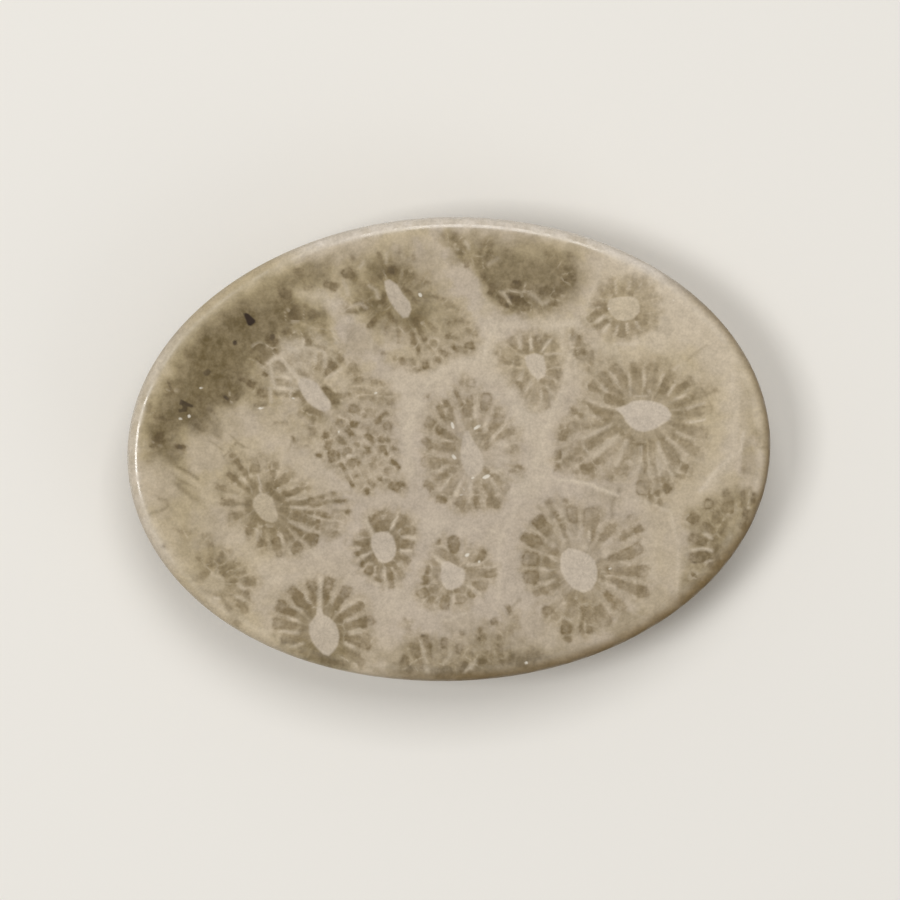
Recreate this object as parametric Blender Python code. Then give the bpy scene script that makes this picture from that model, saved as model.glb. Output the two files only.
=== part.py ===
"""Fossil coral cabochon: an oval slice of stony coral turned to stone, cut and polished by hand.

The flat back faces up and the low dome faces down. The origin is under the middle of the stone, on
the surface that the dome rests on. +X runs along the oval's length and +Z points up.
"""
import math

import bmesh
import bpy

# Driving dimensions, in metres
HALF_LENGTH = 0.0201
HALF_WIDTH = 0.0146
THICKNESS = 0.0070
BEVEL_WIDTH = 0.00060     # the rounded edge of the back, seen from above
BEVEL_DROP = 0.00045      # and how far it falls over that width
GIRDLE_HEIGHT = 0.00090   # the upright band between the back's edge and the dome
GIRDLE_BULGE = 0.00008    # how far the band swells beyond its two edges

# The dome falls as a power curve: level at its crown, steep where it meets the girdle
CROWN_SHARE = 0.10        # the level spot at the crown, as a share of the outline
DOME_FLATNESS = 2.4
DOME_FULLNESS = 0.60

# What hand grinding left of a true ellipse: each wave has its number of turns around the oval, its
# height in metres and the direction of its first crest
OUTLINE_WAVES = (
    (2, 0.00019, math.radians(37)),
    (3, 0.00004, math.radians(90)),
    (4, 0.00005, math.radians(25)),
)

# Fineness of the facets
MERIDIANS = 96
BACK_RINGS = 3
BEVEL_RINGS = 4
GIRDLE_RINGS = 2
DOME_RINGS = 14

STONE_COLOUR = (0.44, 0.37, 0.28, 1.0)
STONE_ROUGHNESS = 0.28


def outline_radius(angle):
    """Distance from the middle to the widest edge: an ellipse's polar radius plus the waves."""
    ellipse = 1 / math.hypot(math.cos(angle) / HALF_LENGTH, math.sin(angle) / HALF_WIDTH)
    waves = sum(height * math.cos(turns * (angle - crest)) for turns, height, crest in OUTLINE_WAVES)
    return ellipse + waves


def ring_profile():
    """Each ring from the back's centre to the dome's crown, as (share of radius, inset, height).

    A ring's point stands at share * (outline radius - inset) from the middle.
    """
    rings = []
    for step in range(1, BACK_RINGS + 1):
        rings.append((step / BACK_RINGS, GIRDLE_BULGE + BEVEL_WIDTH, THICKNESS))
    for step in range(1, BEVEL_RINGS + 1):
        turn = math.radians(90) * step / BEVEL_RINGS
        inset = GIRDLE_BULGE + BEVEL_WIDTH * (1 - math.sin(turn))
        rings.append((1.0, inset, THICKNESS - BEVEL_DROP * (1 - math.cos(turn))))
    dome_height = THICKNESS - BEVEL_DROP - GIRDLE_HEIGHT
    for step in range(1, GIRDLE_RINGS + 1):
        fall = step / GIRDLE_RINGS
        bulge = GIRDLE_BULGE * math.sin(math.pi * fall)
        rings.append((1.0, GIRDLE_BULGE - bulge, dome_height + GIRDLE_HEIGHT * (1 - fall)))
    for step in range(1, DOME_RINGS + 1):
        reach = math.cos(math.radians(90) * step / DOME_RINGS)
        fullness = (1 - max(reach, 0.0) ** DOME_FLATNESS) ** DOME_FULLNESS
        share = CROWN_SHARE + (1 - CROWN_SHARE) * reach
        rings.append((share, GIRDLE_BULGE, dome_height * (1 - fullness)))
    return rings


def stone_material():
    """Polished pale brown fossil coral."""
    material = bpy.data.materials.new("polished_fossil_coral")
    material.use_nodes = True
    shader = material.node_tree.nodes["Principled BSDF"]
    shader.inputs["Base Color"].default_value = STONE_COLOUR
    shader.inputs["Roughness"].default_value = STONE_ROUGHNESS
    shader.inputs["Metallic"].default_value = 0.0
    return material


def make_cabochon(collection):
    """A sphere whose rings are moved to the stone's levels and whose meridians follow its outline."""
    rings = ring_profile()
    solid = bmesh.new()
    bmesh.ops.create_uvsphere(solid, u_segments=MERIDIANS, v_segments=len(rings) + 1, radius=1.0)
    for vert in solid.verts:
        level = round(math.acos(max(-1.0, min(1.0, vert.co.z))) / math.pi * (len(rings) + 1))
        if level == 0:
            vert.co = (0.0, 0.0, THICKNESS)
        elif level == len(rings) + 1:
            vert.co = (0.0, 0.0, 0.0)
        else:
            share, inset, height = rings[level - 1]
            angle = math.atan2(vert.co.y, vert.co.x)
            radius = share * (outline_radius(angle) - inset)
            vert.co = (radius * math.cos(angle), radius * math.sin(angle), height)
    corners = [(vert.co.x, vert.co.y) for vert in solid.verts]
    middle_x = (min(x for x, y in corners) + max(x for x, y in corners)) / 2
    middle_y = (min(y for x, y in corners) + max(y for x, y in corners)) / 2
    bmesh.ops.translate(solid, verts=solid.verts, vec=(-middle_x, -middle_y, 0.0))

    mesh = bpy.data.meshes.new("cabochon")
    solid.to_mesh(mesh)
    solid.free()
    mesh.shade_smooth()
    mesh.set_sharp_from_angle(angle=math.radians(30))
    mesh.materials.append(stone_material())
    cabochon = bpy.data.objects.new("cabochon", mesh)
    collection.objects.link(cabochon)
    return cabochon


for old in list(bpy.data.objects):
    bpy.data.objects.remove(old, do_unlink=True)
fossil_coral = bpy.data.collections.new("fossil_coral_cabochon")
bpy.context.scene.collection.children.link(fossil_coral)
make_cabochon(fossil_coral)
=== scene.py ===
import bpy
import numpy as np
from mathutils import Matrix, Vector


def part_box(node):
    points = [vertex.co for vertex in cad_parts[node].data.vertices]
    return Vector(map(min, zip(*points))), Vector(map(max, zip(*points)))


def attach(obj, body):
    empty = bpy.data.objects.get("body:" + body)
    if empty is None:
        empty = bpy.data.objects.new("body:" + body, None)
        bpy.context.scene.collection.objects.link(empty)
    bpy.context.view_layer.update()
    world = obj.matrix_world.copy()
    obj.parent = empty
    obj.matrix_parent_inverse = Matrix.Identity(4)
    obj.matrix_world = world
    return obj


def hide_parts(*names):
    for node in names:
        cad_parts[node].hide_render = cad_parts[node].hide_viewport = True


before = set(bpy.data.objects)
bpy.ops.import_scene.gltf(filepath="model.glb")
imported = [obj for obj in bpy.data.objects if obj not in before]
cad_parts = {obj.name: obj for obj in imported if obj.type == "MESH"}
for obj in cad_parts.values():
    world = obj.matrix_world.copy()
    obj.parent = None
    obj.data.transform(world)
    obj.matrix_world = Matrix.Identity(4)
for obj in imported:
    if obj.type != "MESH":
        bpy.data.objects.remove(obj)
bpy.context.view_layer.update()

MM = 0.001


# The blank: an oval of fossil coral, sawn from the colony across its cups. The back was lapped flat and
# its edge eased with a soft bevel; the front was ground to a low dome. One closed skin covers it all, fine
# enough on the back to carry the coral's markings.
HALF_LENGTH = 20.1
HALF_WIDTH = 14.6
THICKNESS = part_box("cabochon")[1].z / MM
BEVEL_WIDTH = 0.60
BEVEL_DROP = 0.45
GIRDLE_HEIGHT = 0.90
GIRDLE_BULGE = 0.08
CROWN_SHARE = 0.10      # the level spot at the dome's crown, as a share of the outline
DOME_FLATNESS = 2.4
DOME_FULLNESS = 0.60
OUTLINE_WAVES = ((2, 0.19, 37), (3, 0.04, 90), (4, 0.05, 25))   # turns, height in mm, crest in degrees
BACK_RINGS = 146
BEVEL_RINGS = 8
GIRDLE_RINGS = 3
DOME_RINGS = 78
RING_GROWTH = 6         # each of the back's rings has this many points more than the one inside it
DOME_GROWTH = 1.25      # and each of the dome's rings has this many times as many more


def outline_radius(angle):
    """The ellipse's polar radius plus a few low waves, in mm, for directions in radians."""
    ellipse = 1 / np.hypot(np.cos(angle) / HALF_LENGTH, np.sin(angle) / HALF_WIDTH)
    waves = [height * np.cos(turns * (angle - np.radians(crest))) for turns, height, crest in OUTLINE_WAVES]
    return ellipse + sum(waves)


def ring_levels():
    """Rings from the back's middle to the dome's crown: points, share of radius, inset and height in mm.

    The back is level, the bevel is a quarter of an ellipse, the girdle swells as half a sine wave, and
    the dome falls as height * (1 - (1 - reach ** flatness) ** fullness).
    """
    back = np.arange(1, BACK_RINGS + 1) / BACK_RINGS
    bevel = np.arange(1, BEVEL_RINGS + 1) / BEVEL_RINGS
    girdle = np.arange(1, GIRDLE_RINGS + 1) / GIRDLE_RINGS
    widest = RING_GROWTH * BACK_RINGS
    levels = [(RING_GROWTH * ring, share, GIRDLE_BULGE + BEVEL_WIDTH, THICKNESS)
              for ring, share in enumerate(back, start=1)]
    turn = np.radians(90) * bevel
    levels += [(widest, 1.0, inset, height) for inset, height in zip(
        GIRDLE_BULGE + BEVEL_WIDTH * (1 - np.sin(turn)), THICKNESS - BEVEL_DROP * (1 - np.cos(turn)))]
    dome_height = THICKNESS - BEVEL_DROP - GIRDLE_HEIGHT
    levels += [(widest, 1.0, inset, height) for inset, height in zip(
        GIRDLE_BULGE * (1 - np.sin(np.pi * girdle)), dome_height + GIRDLE_HEIGHT * (1 - girdle))]
    ring = np.arange(DOME_RINGS - 1, 0, -1)
    reach = np.sin(np.radians(90) * ring / DOME_RINGS)
    heights = dome_height * (1 - (1 - reach ** DOME_FLATNESS) ** DOME_FULLNESS)
    levels += [(RING_GROWTH * int(steps), CROWN_SHARE + (1 - CROWN_SHARE) * share, GIRDLE_BULGE, height)
               for steps, share, height in zip(np.round(ring * DOME_GROWTH), reach, heights)]
    return levels


def ring_points(count, share, inset, height):
    """Points at even steps of the ellipse's own angle, at share * (outline radius - inset)."""
    step = 2 * np.pi * np.arange(count) / count
    direction = np.arctan2(HALF_WIDTH * np.sin(step), HALF_LENGTH * np.cos(step))
    radius = share * (outline_radius(direction) - inset)
    return np.stack([radius * np.cos(direction), radius * np.sin(direction), np.full(count, height)], axis=1)


def strip_faces(first_a, count_a, first_b, count_b):
    """Triangles between two rings of any sizes.

    The edges of both rings are sorted by where their middles lie around the ring; each in turn makes a
    triangle with the point that the other ring has reached.
    """
    middles = np.concatenate([(np.arange(count_a) + 0.5) / count_a, (np.arange(count_b) + 0.5) / count_b])
    order = np.argsort(middles, kind="stable")
    of_a = order < count_a
    passed_a = np.cumsum(of_a) - of_a
    passed_b = np.cumsum(~of_a) - ~of_a
    here_a = first_a + passed_a % count_a
    here_b = first_b + passed_b % count_b
    next_a = first_a + (passed_a + 1) % count_a
    next_b = first_b + (passed_b + 1) % count_b
    return np.stack([here_a, here_b, np.where(of_a, next_a, next_b)], axis=1)


def stone_skin():
    """All rings' points in mm and the triangles between them, with a pole at each end."""
    rings = [ring_points(*level) for level in ring_levels()]
    sizes = [len(ring) for ring in rings]
    firsts = np.concatenate([[1], 1 + np.cumsum(sizes)])
    top = np.array([[0.0, 0.0, THICKNESS]])
    crown = np.array([[0.0, 0.0, 0.0]])
    points = np.concatenate([top, *rings, crown])
    faces = [strip_faces(0, 1, firsts[0], sizes[0])]
    for place in range(len(rings) - 1):
        faces.append(strip_faces(firsts[place], sizes[place], firsts[place + 1], sizes[place + 1]))
    faces.append(strip_faces(firsts[-2], sizes[-1], firsts[-1], 1))
    faces = np.concatenate(faces)
    flat = (faces[:, 0] == faces[:, 1]) | (faces[:, 1] == faces[:, 2]) | (faces[:, 0] == faces[:, 2])
    middle = (points.min(axis=0) + points.max(axis=0)) / 2
    points[:, :2] -= middle[:2]
    return points, faces[~flat]


points, faces = stone_skin()


# The cups: each coral animal left a cup of stone with a solid core, thin walls raying out from it, and
# dark chambers between the walls. The flat back cuts them across. Every mark is worked out for each point
# of the skin, as how far the point is from the mark's edge, and stored with it for the finish to colour.

# Places are in mm from the stone's middle, along its length and then towards its top edge. A cup has its
# middle ("at"), the strength and reach of the brown around its core and how brown its chambers' inner
# parts are ("halo"), the depth of its chambers' colour ("depth"), how many times as wide as listed they
# are ("spread"), how plainly its core stands out ("clear"), how yellow the core is, and its outline.
# A chamber is its near and far ends, its width at each, its depth of colour, and where it is hollow, how
# much paler its middle is.
CUPS = (
    {"at": (-8.53, 3.47), "halo": (0.17, 0.5, 0.25), "depth": 0.88, "spread": 1.08,
     "clear": 0.82, "yellow": 0, "core": (
        (-9.5, 4.5), (-9.1, 4.5), (-8.7, 4.4), (-8.3, 4.15), (-8.05, 3.75), (-7.75, 3.35), (-7.5, 3.05),
        (-7.45, 2.75), (-7.6, 2.5), (-7.85, 2.43), (-8.2, 2.55), (-8.6, 2.8), (-8.95, 3.1), (-9.2, 3.5),
        (-9.4, 3.9), (-9.5, 4.2)),
     "chambers": (
        (-7.75, 4.72, -7.28, 5.5, 0.18, 0.56, 0.95), (-6.95, 5.6, -6.75, 5.8, 0.4, 0.4, 0.85),
        (-8.22, 5.05, -8.08, 6, 0.28, 0.24, 0.6), (-8.75, 5.3, -8.75, 6.05, 0.26, 0.3, 0.28),
        (-8.8, 4.72, -9.45, 4.92, 0.2, 0.24, 0.5), (-9.95, 5.3, -10.15, 5.52, 0.16, 0.18, 0.5),
        (-9.35, 5.7, -9.85, 5.9, 0.4, 0.4, 0.25), (-10.3, 5, -10.85, 5.4, 0.36, 0.42, 0.5),
        (-10.15, 4.2, -10.95, 4.32, 0.32, 0.32, 0.55), (-10.1, 3.48, -10.95, 3.5, 0.26, 0.26, 0.6),
        (-9.58, 3.45, -9.8, 3.42, 0.22, 0.22, 0.7), (-9.12, 3.08, -9.55, 3.85, 0.24, 0.2, 0.6),
        (-8.05, 2.25, -8.95, 2.62, 0.3, 0.26, 0.65), (-7.92, 3.95, -7.45, 3.45, 0.24, 0.36, 1),
        (-7.45, 3.45, -7.15, 3, 0.42, 0.36, 0.9), (-11.3, 6.75, -10.95, 7.05, 0.62, 0.6, 1.1),
        (-11, 6.22, -10.72, 5.95, 0.18, 0.2, 1.05), (-11.3, 5.75, -12.2, 6.3, 0.7, 0.8, 0.85, 0.35),
        (-11.85, 6.3, -12, 6.5, 0.3, 0.3, 0.5), (-11.55, 5.42, -11.85, 5.58, 0.2, 0.2, 1.05),
        (-11.42, 4.68, -11.78, 4.82, 0.2, 0.26, 1.05), (-12.25, 4.05, -13.05, 4.5, 0.34, 0.22, 1.1),
        (-11.45, 3.5, -12, 3.65, 0.4, 0.42, 1), (-11.5, 2.78, -12.2, 2.92, 0.12, 0.14, 0.6),
        (-12.4, 5.2, -12.5, 5.4, 0.26, 0.26, 0.4), (-8.85, 6.55, -8.85, 6.9, 0.28, 0.28, 0.8),
        (-8.9, 7, -9, 7.4, 0.3, 0.3, 0.5), (-7.85, 6.42, -8.35, 6.45, 0.2, 0.22, 0.55),
        (-7.7, 7.85, -8.15, 7.85, 0.16, 0.18, 0.55), (-7.9, 7.25, -8.3, 7.25, 0.22, 0.2, 0.4),
        (-9.9, 7.5, -10.45, 7.3, 0.4, 0.2, 0.8), (-9.5, 7.15, -9.75, 7.15, 0.22, 0.22, 0.4),
        (-9.6, 8.4, -10.05, 8.4, 0.36, 0.36, 0.6), (-10.6, 8.25, -10.6, 8.4, 0.24, 0.24, 0.4),
        (-10.25, 1.7, -10.95, 1.72, 0.16, 0.14, 0.5), (-9.15, 2.1, -9.45, 2.35, 0.4, 0.3, 0.35),
        (-8.55, 2.05, -8.55, 1.75, 0.2, 0.22, 0.42), (-8.65, 1.35, -8.6, 0.85, 0.34, 0.34, 0.52),
        (-9.05, 0.3, -8.9, 0.1, 0.24, 0.24, 0.3), (-6.15, 4.9, -6.2, 5.3, 0.3, 0.26, 0.6))},
    {"at": (-3.28, 9.53), "halo": (0.34, 1.5, 0.6), "depth": 0.76, "spread": 1,
     "clear": 0.75, "yellow": 0, "core": (
        (-4.09, 10.55), (-3.78, 10.65), (-3.31, 10.33), (-3, 9.79), (-2.54, 9.25), (-2.43, 8.78),
        (-2.61, 8.34), (-2.93, 8.28), (-3.39, 8.78), (-3.75, 9.32), (-4.01, 10.02)),
     "chambers": (
        (-4.2, 10.85, -4.85, 10.7, 0.26, 0.24, 0.65), (-3.63, 10.98, -3.62, 11.48, 0.66, 0.5, 1.2),
        (-4.12, 9.8, -4.1, 9.05, 0.22, 0.26, 0.85), (-4.2, 9.27, -4.95, 9.3, 0.22, 0.14, 0.95),
        (-5.2, 8.85, -5.5, 9, 0.44, 0.4, 0.65), (-5.6, 9.22, -5.98, 9.18, 0.16, 0.16, 0.75),
        (-5.95, 8.62, -6.45, 8.68, 0.2, 0.16, 0.8), (-4.6, 8.25, -5.1, 7.7, 0.34, 0.28, 1.15),
        (-3.92, 8.6, -3.38, 8, 0.32, 0.24, 1.05), (-4.02, 7.84, -4.02, 7.25, 0.14, 0.14, 0.55),
        (-3.2, 7.4, -3.15, 6.7, 0.22, 0.28, 0.6), (-2.78, 7.7, -2.75, 7.55, 0.2, 0.2, 0.6),
        (-2.35, 7.28, -2.3, 6.65, 0.2, 0.26, 0.95), (-2.1, 8.3, -2.1, 7.75, 0.36, 0.3, 1),
        (-1.98, 7.75, -1.55, 6.85, 0.22, 0.3, 0.9), (-1.3, 7.85, -0.85, 7.45, 0.28, 0.28, 0.65),
        (-2.85, 10.15, -2.1, 9.25, 0.22, 0.2, 0.95), (-2.8, 10.9, -1.7, 10.75, 0.3, 0.3, 0.4),
        (-1.5, 10.55, -1.22, 10.42, 0.24, 0.24, 0.5), (-2.75, 11.15, -2.7, 11.05, 0.2, 0.2, 0.6),
        (-1, 9.7, -0.5, 9.4, 0.22, 0.24, 0.6), (-1.15, 6.7, -0.95, 6.65, 0.3, 0.3, 0.45),
        (-6.7, 10.98, -6.08, 11.1, 0.42, 0.62, 1.05, 0.35), (-7.82, 10.42, -7.12, 10.15, 0.34, 0.42, 0.95),
        (-2, 6.45, -1.95, 5.98, 0.18, 0.34, 0.95), (-1.35, 6.5, -1.15, 6.05, 0.14, 0.12, 0.6),
        (-5.6, 10.2, -5, 9.8, 0.7, 0.7, 0.4, 0.7), (-4.48, 12.3, -4.32, 12, 0.2, 0.22, 0.7),
        (-3.18, 13, -3.12, 12.35, 0.14, 0.14, 0.35), (-6.1, 12.1, -6.1, 11.85, 0.2, 0.2, 0.45),
        (-2.28, 12.2, -2.25, 12, 0.14, 0.14, 0.45), (-5.3, 11.7, -4.9, 11.5, 0.3, 0.3, 0.3))},
    {"at": (5.41, 5.28), "halo": (0, 0.5, 0.3), "depth": 0.53, "spread": 1.12,
     "clear": 0.97, "yellow": 0.25, "core": (
        (4.68, 5.85), (5.33, 6.03), (5.85, 5.85), (6, 5.05), (5.9, 4.6), (5.5, 4.42), (5.1, 4.78),
        (4.8, 5.3)),
     "chambers": (
        (4.32, 6.25, 3.72, 6.95, 0.24, 0.32, 0.95), (4.7, 6.2, 4.72, 7.1, 0.4, 0.36, 1),
        (4.5, 6.25, 4.48, 7, 0.2, 0.16, 0.4), (5.28, 6.18, 5.3, 7.08, 0.42, 0.26, 1.1),
        (5.5, 6.25, 6.1, 7.12, 0.3, 0.28, 1.05), (6.1, 6.15, 6.65, 6.65, 0.3, 0.64, 0.5),
        (6.25, 6.25, 6.45, 6.7, 0.18, 0.2, 0.5), (6.1, 5.15, 6.62, 5.85, 0.14, 0.55, 0.65),
        (6.2, 5.45, 6.55, 5.65, 0.12, 0.14, 0.4), (6.25, 4.72, 6.98, 4.78, 0.3, 0.42, 0.9),
        (6.58, 5.38, 6.75, 5.35, 0.12, 0.12, 0.5), (5.7, 4.35, 6.45, 4.08, 0.24, 0.4, 0.75),
        (6.2, 4.1, 6.75, 3.75, 0.36, 0.34, 0.5), (5.8, 4.3, 5.55, 3.85, 0.2, 0.2, 0.6),
        (5.95, 3.9, 6.08, 2.66, 0.34, 0.3, 0.75), (5.3, 4.1, 5.35, 2.82, 0.6, 0.36, 0.55),
        (5.1, 4, 4.84, 3.38, 0.24, 0.2, 0.65), (5.25, 2.95, 5.45, 2.88, 0.16, 0.16, 0.6),
        (4.2, 4.18, 4.7, 3.75, 0.2, 0.3, 0.95), (4.85, 4.75, 4.72, 4.1, 0.34, 0.28, 0.7),
        (4.35, 4.88, 3.8, 4.6, 0.36, 0.34, 0.6), (3.75, 5.4, 3.15, 5.72, 0.26, 0.32, 0.8),
        (3.7, 5.42, 3.45, 5.42, 0.18, 0.2, 0.6), (4.3, 5.28, 4.12, 5.78, 0.2, 0.22, 0.7),
        (4, 5.9, 3.35, 6.2, 0.36, 0.36, 0.38), (3, 6.05, 2.85, 6.1, 0.18, 0.16, 0.5),
        (5.65, 6, 5.85, 5.95, 0.1, 0.1, 0.6), (4.2, 6.15, 5.6, 6.1, 0.14, 0.14, 0.6))},
    {"at": (10.97, 8.84), "halo": (0, 0.6, 0.3), "depth": 0.52, "spread": 1.15,
     "clear": 1, "yellow": 0.9, "core": (
        (9.95, 9.4), (10.6, 9.52), (11.3, 9.55), (11.72, 9.4), (11.88, 9), (11.8, 8.55), (11.45, 8.2),
        (10.9, 8.08), (10.4, 8.2), (10.05, 8.5), (9.85, 9)),
     "chambers": (
        (9.9, 8.05, 9.1, 7.6, 0.22, 0.4, 1.15), (9.72, 8.78, 9.2, 8.48, 0.26, 0.36, 1.1),
        (9.25, 8.5, 8.66, 8.16, 0.32, 0.32, 0.8), (8.95, 8.3, 8.66, 8.16, 0.26, 0.28, 0.4),
        (9.42, 9.18, 8.98, 9.08, 0.26, 0.28, 0.85), (9.85, 9.1, 9.52, 9.05, 0.26, 0.2, 0.85),
        (9.7, 9.7, 9.3, 9.85, 0.24, 0.24, 0.5), (10, 9.85, 10.02, 10.65, 0.36, 0.3, 0.55),
        (10.7, 9.7, 10.82, 10.45, 0.28, 0.46, 0.52), (11.1, 9.7, 11.45, 9.9, 0.2, 0.24, 0.55),
        (11.45, 10.1, 11.75, 10.95, 0.36, 0.46, 0.38), (12, 10.15, 12.4, 10.3, 0.18, 0.2, 0.35),
        (12.15, 9.6, 12.95, 9.8, 0.2, 0.24, 0.35), (12, 8.75, 13, 9.1, 0.4, 0.3, 0.25),
        (11.65, 8.38, 12.05, 8.28, 0.3, 0.36, 0.8), (12, 8.3, 13, 8.15, 0.32, 0.32, 0.55),
        (11.95, 7.98, 12.42, 7.5, 0.3, 0.42, 0.6), (11.35, 7.95, 11.55, 7.28, 0.3, 0.46, 0.65),
        (10.75, 8, 10.72, 7.08, 0.34, 0.4, 0.95), (10.4, 7.98, 10.1, 7.4, 0.46, 0.34, 0.85),
        (10.1, 7.5, 10, 7.3, 0.3, 0.26, 0.3), (10.75, 8.06, 11.5, 8.1, 0.1, 0.12, 0.7),
        (10.3, 9.62, 11.4, 9.64, 0.12, 0.12, 0.4), (11.8, 9.25, 11.9, 9, 0.12, 0.12, 0.4))},
    {"at": (12.22, 2.22), "halo": (0.26, 1.2, 0.45), "depth": 0.62, "spread": 1.25,
     "clear": 1, "yellow": 0, "core": (
        (10.4, 2.55), (11, 2.75), (11.4, 3), (12, 3.07), (12.6, 3.02), (13.2, 2.85), (13.6, 2.6),
        (13.85, 2.2), (13.75, 1.9), (13.3, 1.6), (12.8, 1.3), (12.2, 1.12), (11.7, 1.2), (11.3, 1.45),
        (11, 1.8), (10.85, 2.15)),
     "chambers": (
        (9.92, 4.02, 9.48, 4.8, 0.36, 0.42, 0.78), (10.98, 4.15, 10.25, 5.22, 0.34, 0.4, 0.85),
        (11.6, 3.45, 11.65, 4.8, 0.4, 0.44, 0.42), (11.68, 4.8, 11.65, 5.38, 0.46, 0.5, 0.8),
        (12.45, 3.6, 12.7, 5.35, 0.4, 0.5, 0.62), (12.95, 5.1, 13.02, 5.4, 0.2, 0.24, 0.55),
        (13.3, 3.5, 13.7, 4.42, 0.32, 0.46, 0.9), (13.75, 4.5, 14.08, 5.25, 0.4, 0.34, 0.5),
        (14.1, 3.68, 14.7, 3.98, 0.3, 0.3, 0.85), (14.6, 3.95, 15.2, 4.35, 0.28, 0.36, 0.75),
        (14.1, 2.72, 14.95, 3.08, 0.26, 0.3, 0.7), (15.15, 3.3, 15.98, 3.62, 0.34, 0.48, 0.65),
        (14.85, 2.15, 16.4, 2.6, 0.4, 0.32, 0.68), (14.3, 1.4, 16.15, 0.92, 0.3, 0.52, 0.7),
        (14.4, 0.4, 15.1, 0.08, 0.46, 0.44, 0.85, 0.45), (15, 0, 15.85, -0.25, 0.36, 0.4, 0.42),
        (13.5, 0.35, 14.1, -0.8, 0.44, 0.42, 0.6, 0.3), (13.35, 0.3, 13.85, -0.65, 0.14, 0.16, 0.6),
        (13.95, -0.85, 14.35, -0.85, 0.26, 0.26, 0.8), (13.28, 0.7, 13.32, 0.2, 0.2, 0.16, 0.75),
        (14.03, 1.2, 14.03, 0.7, 0.12, 0.12, 0.5), (12.6, 0.6, 12.75, -0.95, 0.34, 0.24, 0.5),
        (12.15, 0.25, 12.25, -1.4, 0.24, 0.18, 0.85), (11.35, 0.36, 12.1, 0.3, 0.08, 0.12, 1.1),
        (11.1, 0.95, 11.4, 0.55, 0.34, 0.34, 0.55), (11.45, 0.2, 11.45, -0.5, 0.6, 0.6, 0.28),
        (10.95, -1.05, 10.85, -1.5, 0.36, 0.4, 0.65), (10.6, -1.15, 10.5, -1.55, 0.26, 0.28, 0.8),
        (10.95, -0.1, 10.8, -1.05, 0.3, 0.4, 0.35), (10.05, -1.5, 9.85, -1.88, 0.34, 0.4, 0.6),
        (10.3, 0.1, 9.4, -0.85, 0.26, 0.36, 0.55), (9.32, -0.55, 9.15, -0.85, 0.24, 0.24, 0.85),
        (9.3, 0.95, 9.55, 0.5, 0.3, 0.24, 0.8), (8.9, 0.5, 8.55, 0.15, 0.5, 0.44, 0.85),
        (9.7, 0.9, 8.9, 0.45, 0.36, 0.46, 0.5), (10.65, 1.3, 10.85, 0.6, 0.14, 0.16, 0.6),
        (10.5, 1.25, 9.6, 0.95, 0.36, 0.4, 0.42), (9.9, 1.5, 9.05, 1.62, 0.24, 0.26, 0.6),
        (8.45, 1.38, 8.6, 1.38, 0.14, 0.14, 0.7), (10.1, 1.95, 9.3, 2.35, 0.6, 0.46, 0.9),
        (9.35, 2.35, 8.75, 2.8, 0.4, 0.22, 0.85), (8.75, 2.8, 8.48, 2.98, 0.16, 0.12, 0.7),
        (10.85, 2.85, 9.72, 3.25, 0.3, 0.42, 0.85), (9.75, 3.2, 10.1, 3.08, 0.3, 0.26, 0.6),
        (10.7, 3.2, 10.1, 3.9, 0.36, 0.4, 0.6), (9.25, 3.62, 8.82, 4.1, 0.24, 0.34, 0.85),
        (8.78, 4, 8.85, 3.75, 0.16, 0.2, 0.5), (7.75, 2.7, 7.72, 2.25, 0.14, 0.4, 0.9),
        (8.08, 2.22, 8.32, 2.08, 0.22, 0.22, 1), (7.9, 1.45, 7.45, 1.4, 0.46, 0.46, 0.65, 0.45),
        (7, 1.5, 7, 1.38, 0.14, 0.14, 0.6), (7.15, 1.2, 7.2, 0.95, 0.26, 0.28, 1),
        (7.05, 0.95, 6.95, 0.65, 0.34, 0.28, 0.85), (7.95, 0.42, 7.85, -0.65, 0.5, 0.56, 0.68),
        (8.3, -0.1, 8.4, -0.3, 0.2, 0.2, 0.6), (6.75, -0.05, 6.75, -0.55, 0.22, 0.3, 0.95),
        (7.25, -0.5, 7.28, -1.05, 0.14, 0.18, 0.6), (6.7, -0.92, 6.75, -1.2, 0.22, 0.26, 1.15),
        (8.95, -1.15, 8.22, -1.3, 0.5, 0.46, 1.1), (8.7, -1.62, 9.05, -1.62, 0.18, 0.16, 0.8),
        (7.7, -1.38, 8.08, -1.4, 0.14, 0.14, 0.8), (12.12, -2, 12.1, -2.8, 0.6, 0.56, 0.95, 0.6),
        (12.6, -2.85, 12.6, -3.35, 0.24, 0.2, 0.8), (12.85, -1.8, 13.3, -1.92, 0.22, 0.24, 0.8),
        (13.75, -2.2, 13.4, -2.65, 0.44, 0.46, 1.2), (13.2, -2.65, 12.9, -2.75, 0.2, 0.2, 1),
        (13.1, -3.25, 13.28, -3.38, 0.2, 0.2, 0.7), (14.8, -1, 14.6, -1.38, 0.24, 0.26, 1),
        (14.98, -1.3, 15.15, -1.4, 0.16, 0.14, 0.5), (14.15, -1.82, 14.7, -1.68, 0.24, 0.24, 0.85),
        (16.58, 3.72, 16.76, 3.74, 0.22, 0.22, 0.55), (7.88, 6.48, 7.88, 7.1, 0.22, 0.52, 1.05, 0.3),
        (7.8, 7.05, 7.68, 7.45, 0.36, 0.12, 0.95), (7.75, 6.22, 7.88, 5.75, 0.24, 0.12, 0.95),
        (8.12, 6.1, 8.42, 6.08, 0.18, 0.2, 1), (8.78, 6.15, 8.92, 5.35, 0.3, 0.22, 0.6),
        (8.48, 5.1, 8.62, 5, 0.18, 0.16, 0.6), (9.75, 5.85, 9.78, 5.65, 0.2, 0.22, 0.4),
        (14.1, 1.9, 14.6, 1.9, 0.7, 0.5, 0.3))},
    {"at": (1.34, -0.47), "halo": (0.2, 0.7, 0.35), "depth": 0.7, "spread": 1.1,
     "clear": 0.65, "yellow": 0, "core": (
        (0.95, 1.15), (1.15, 1.2), (1.45, 0.55), (1.75, 0.1), (2, -0.3), (2.1, -0.75), (2, -1.2),
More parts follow.
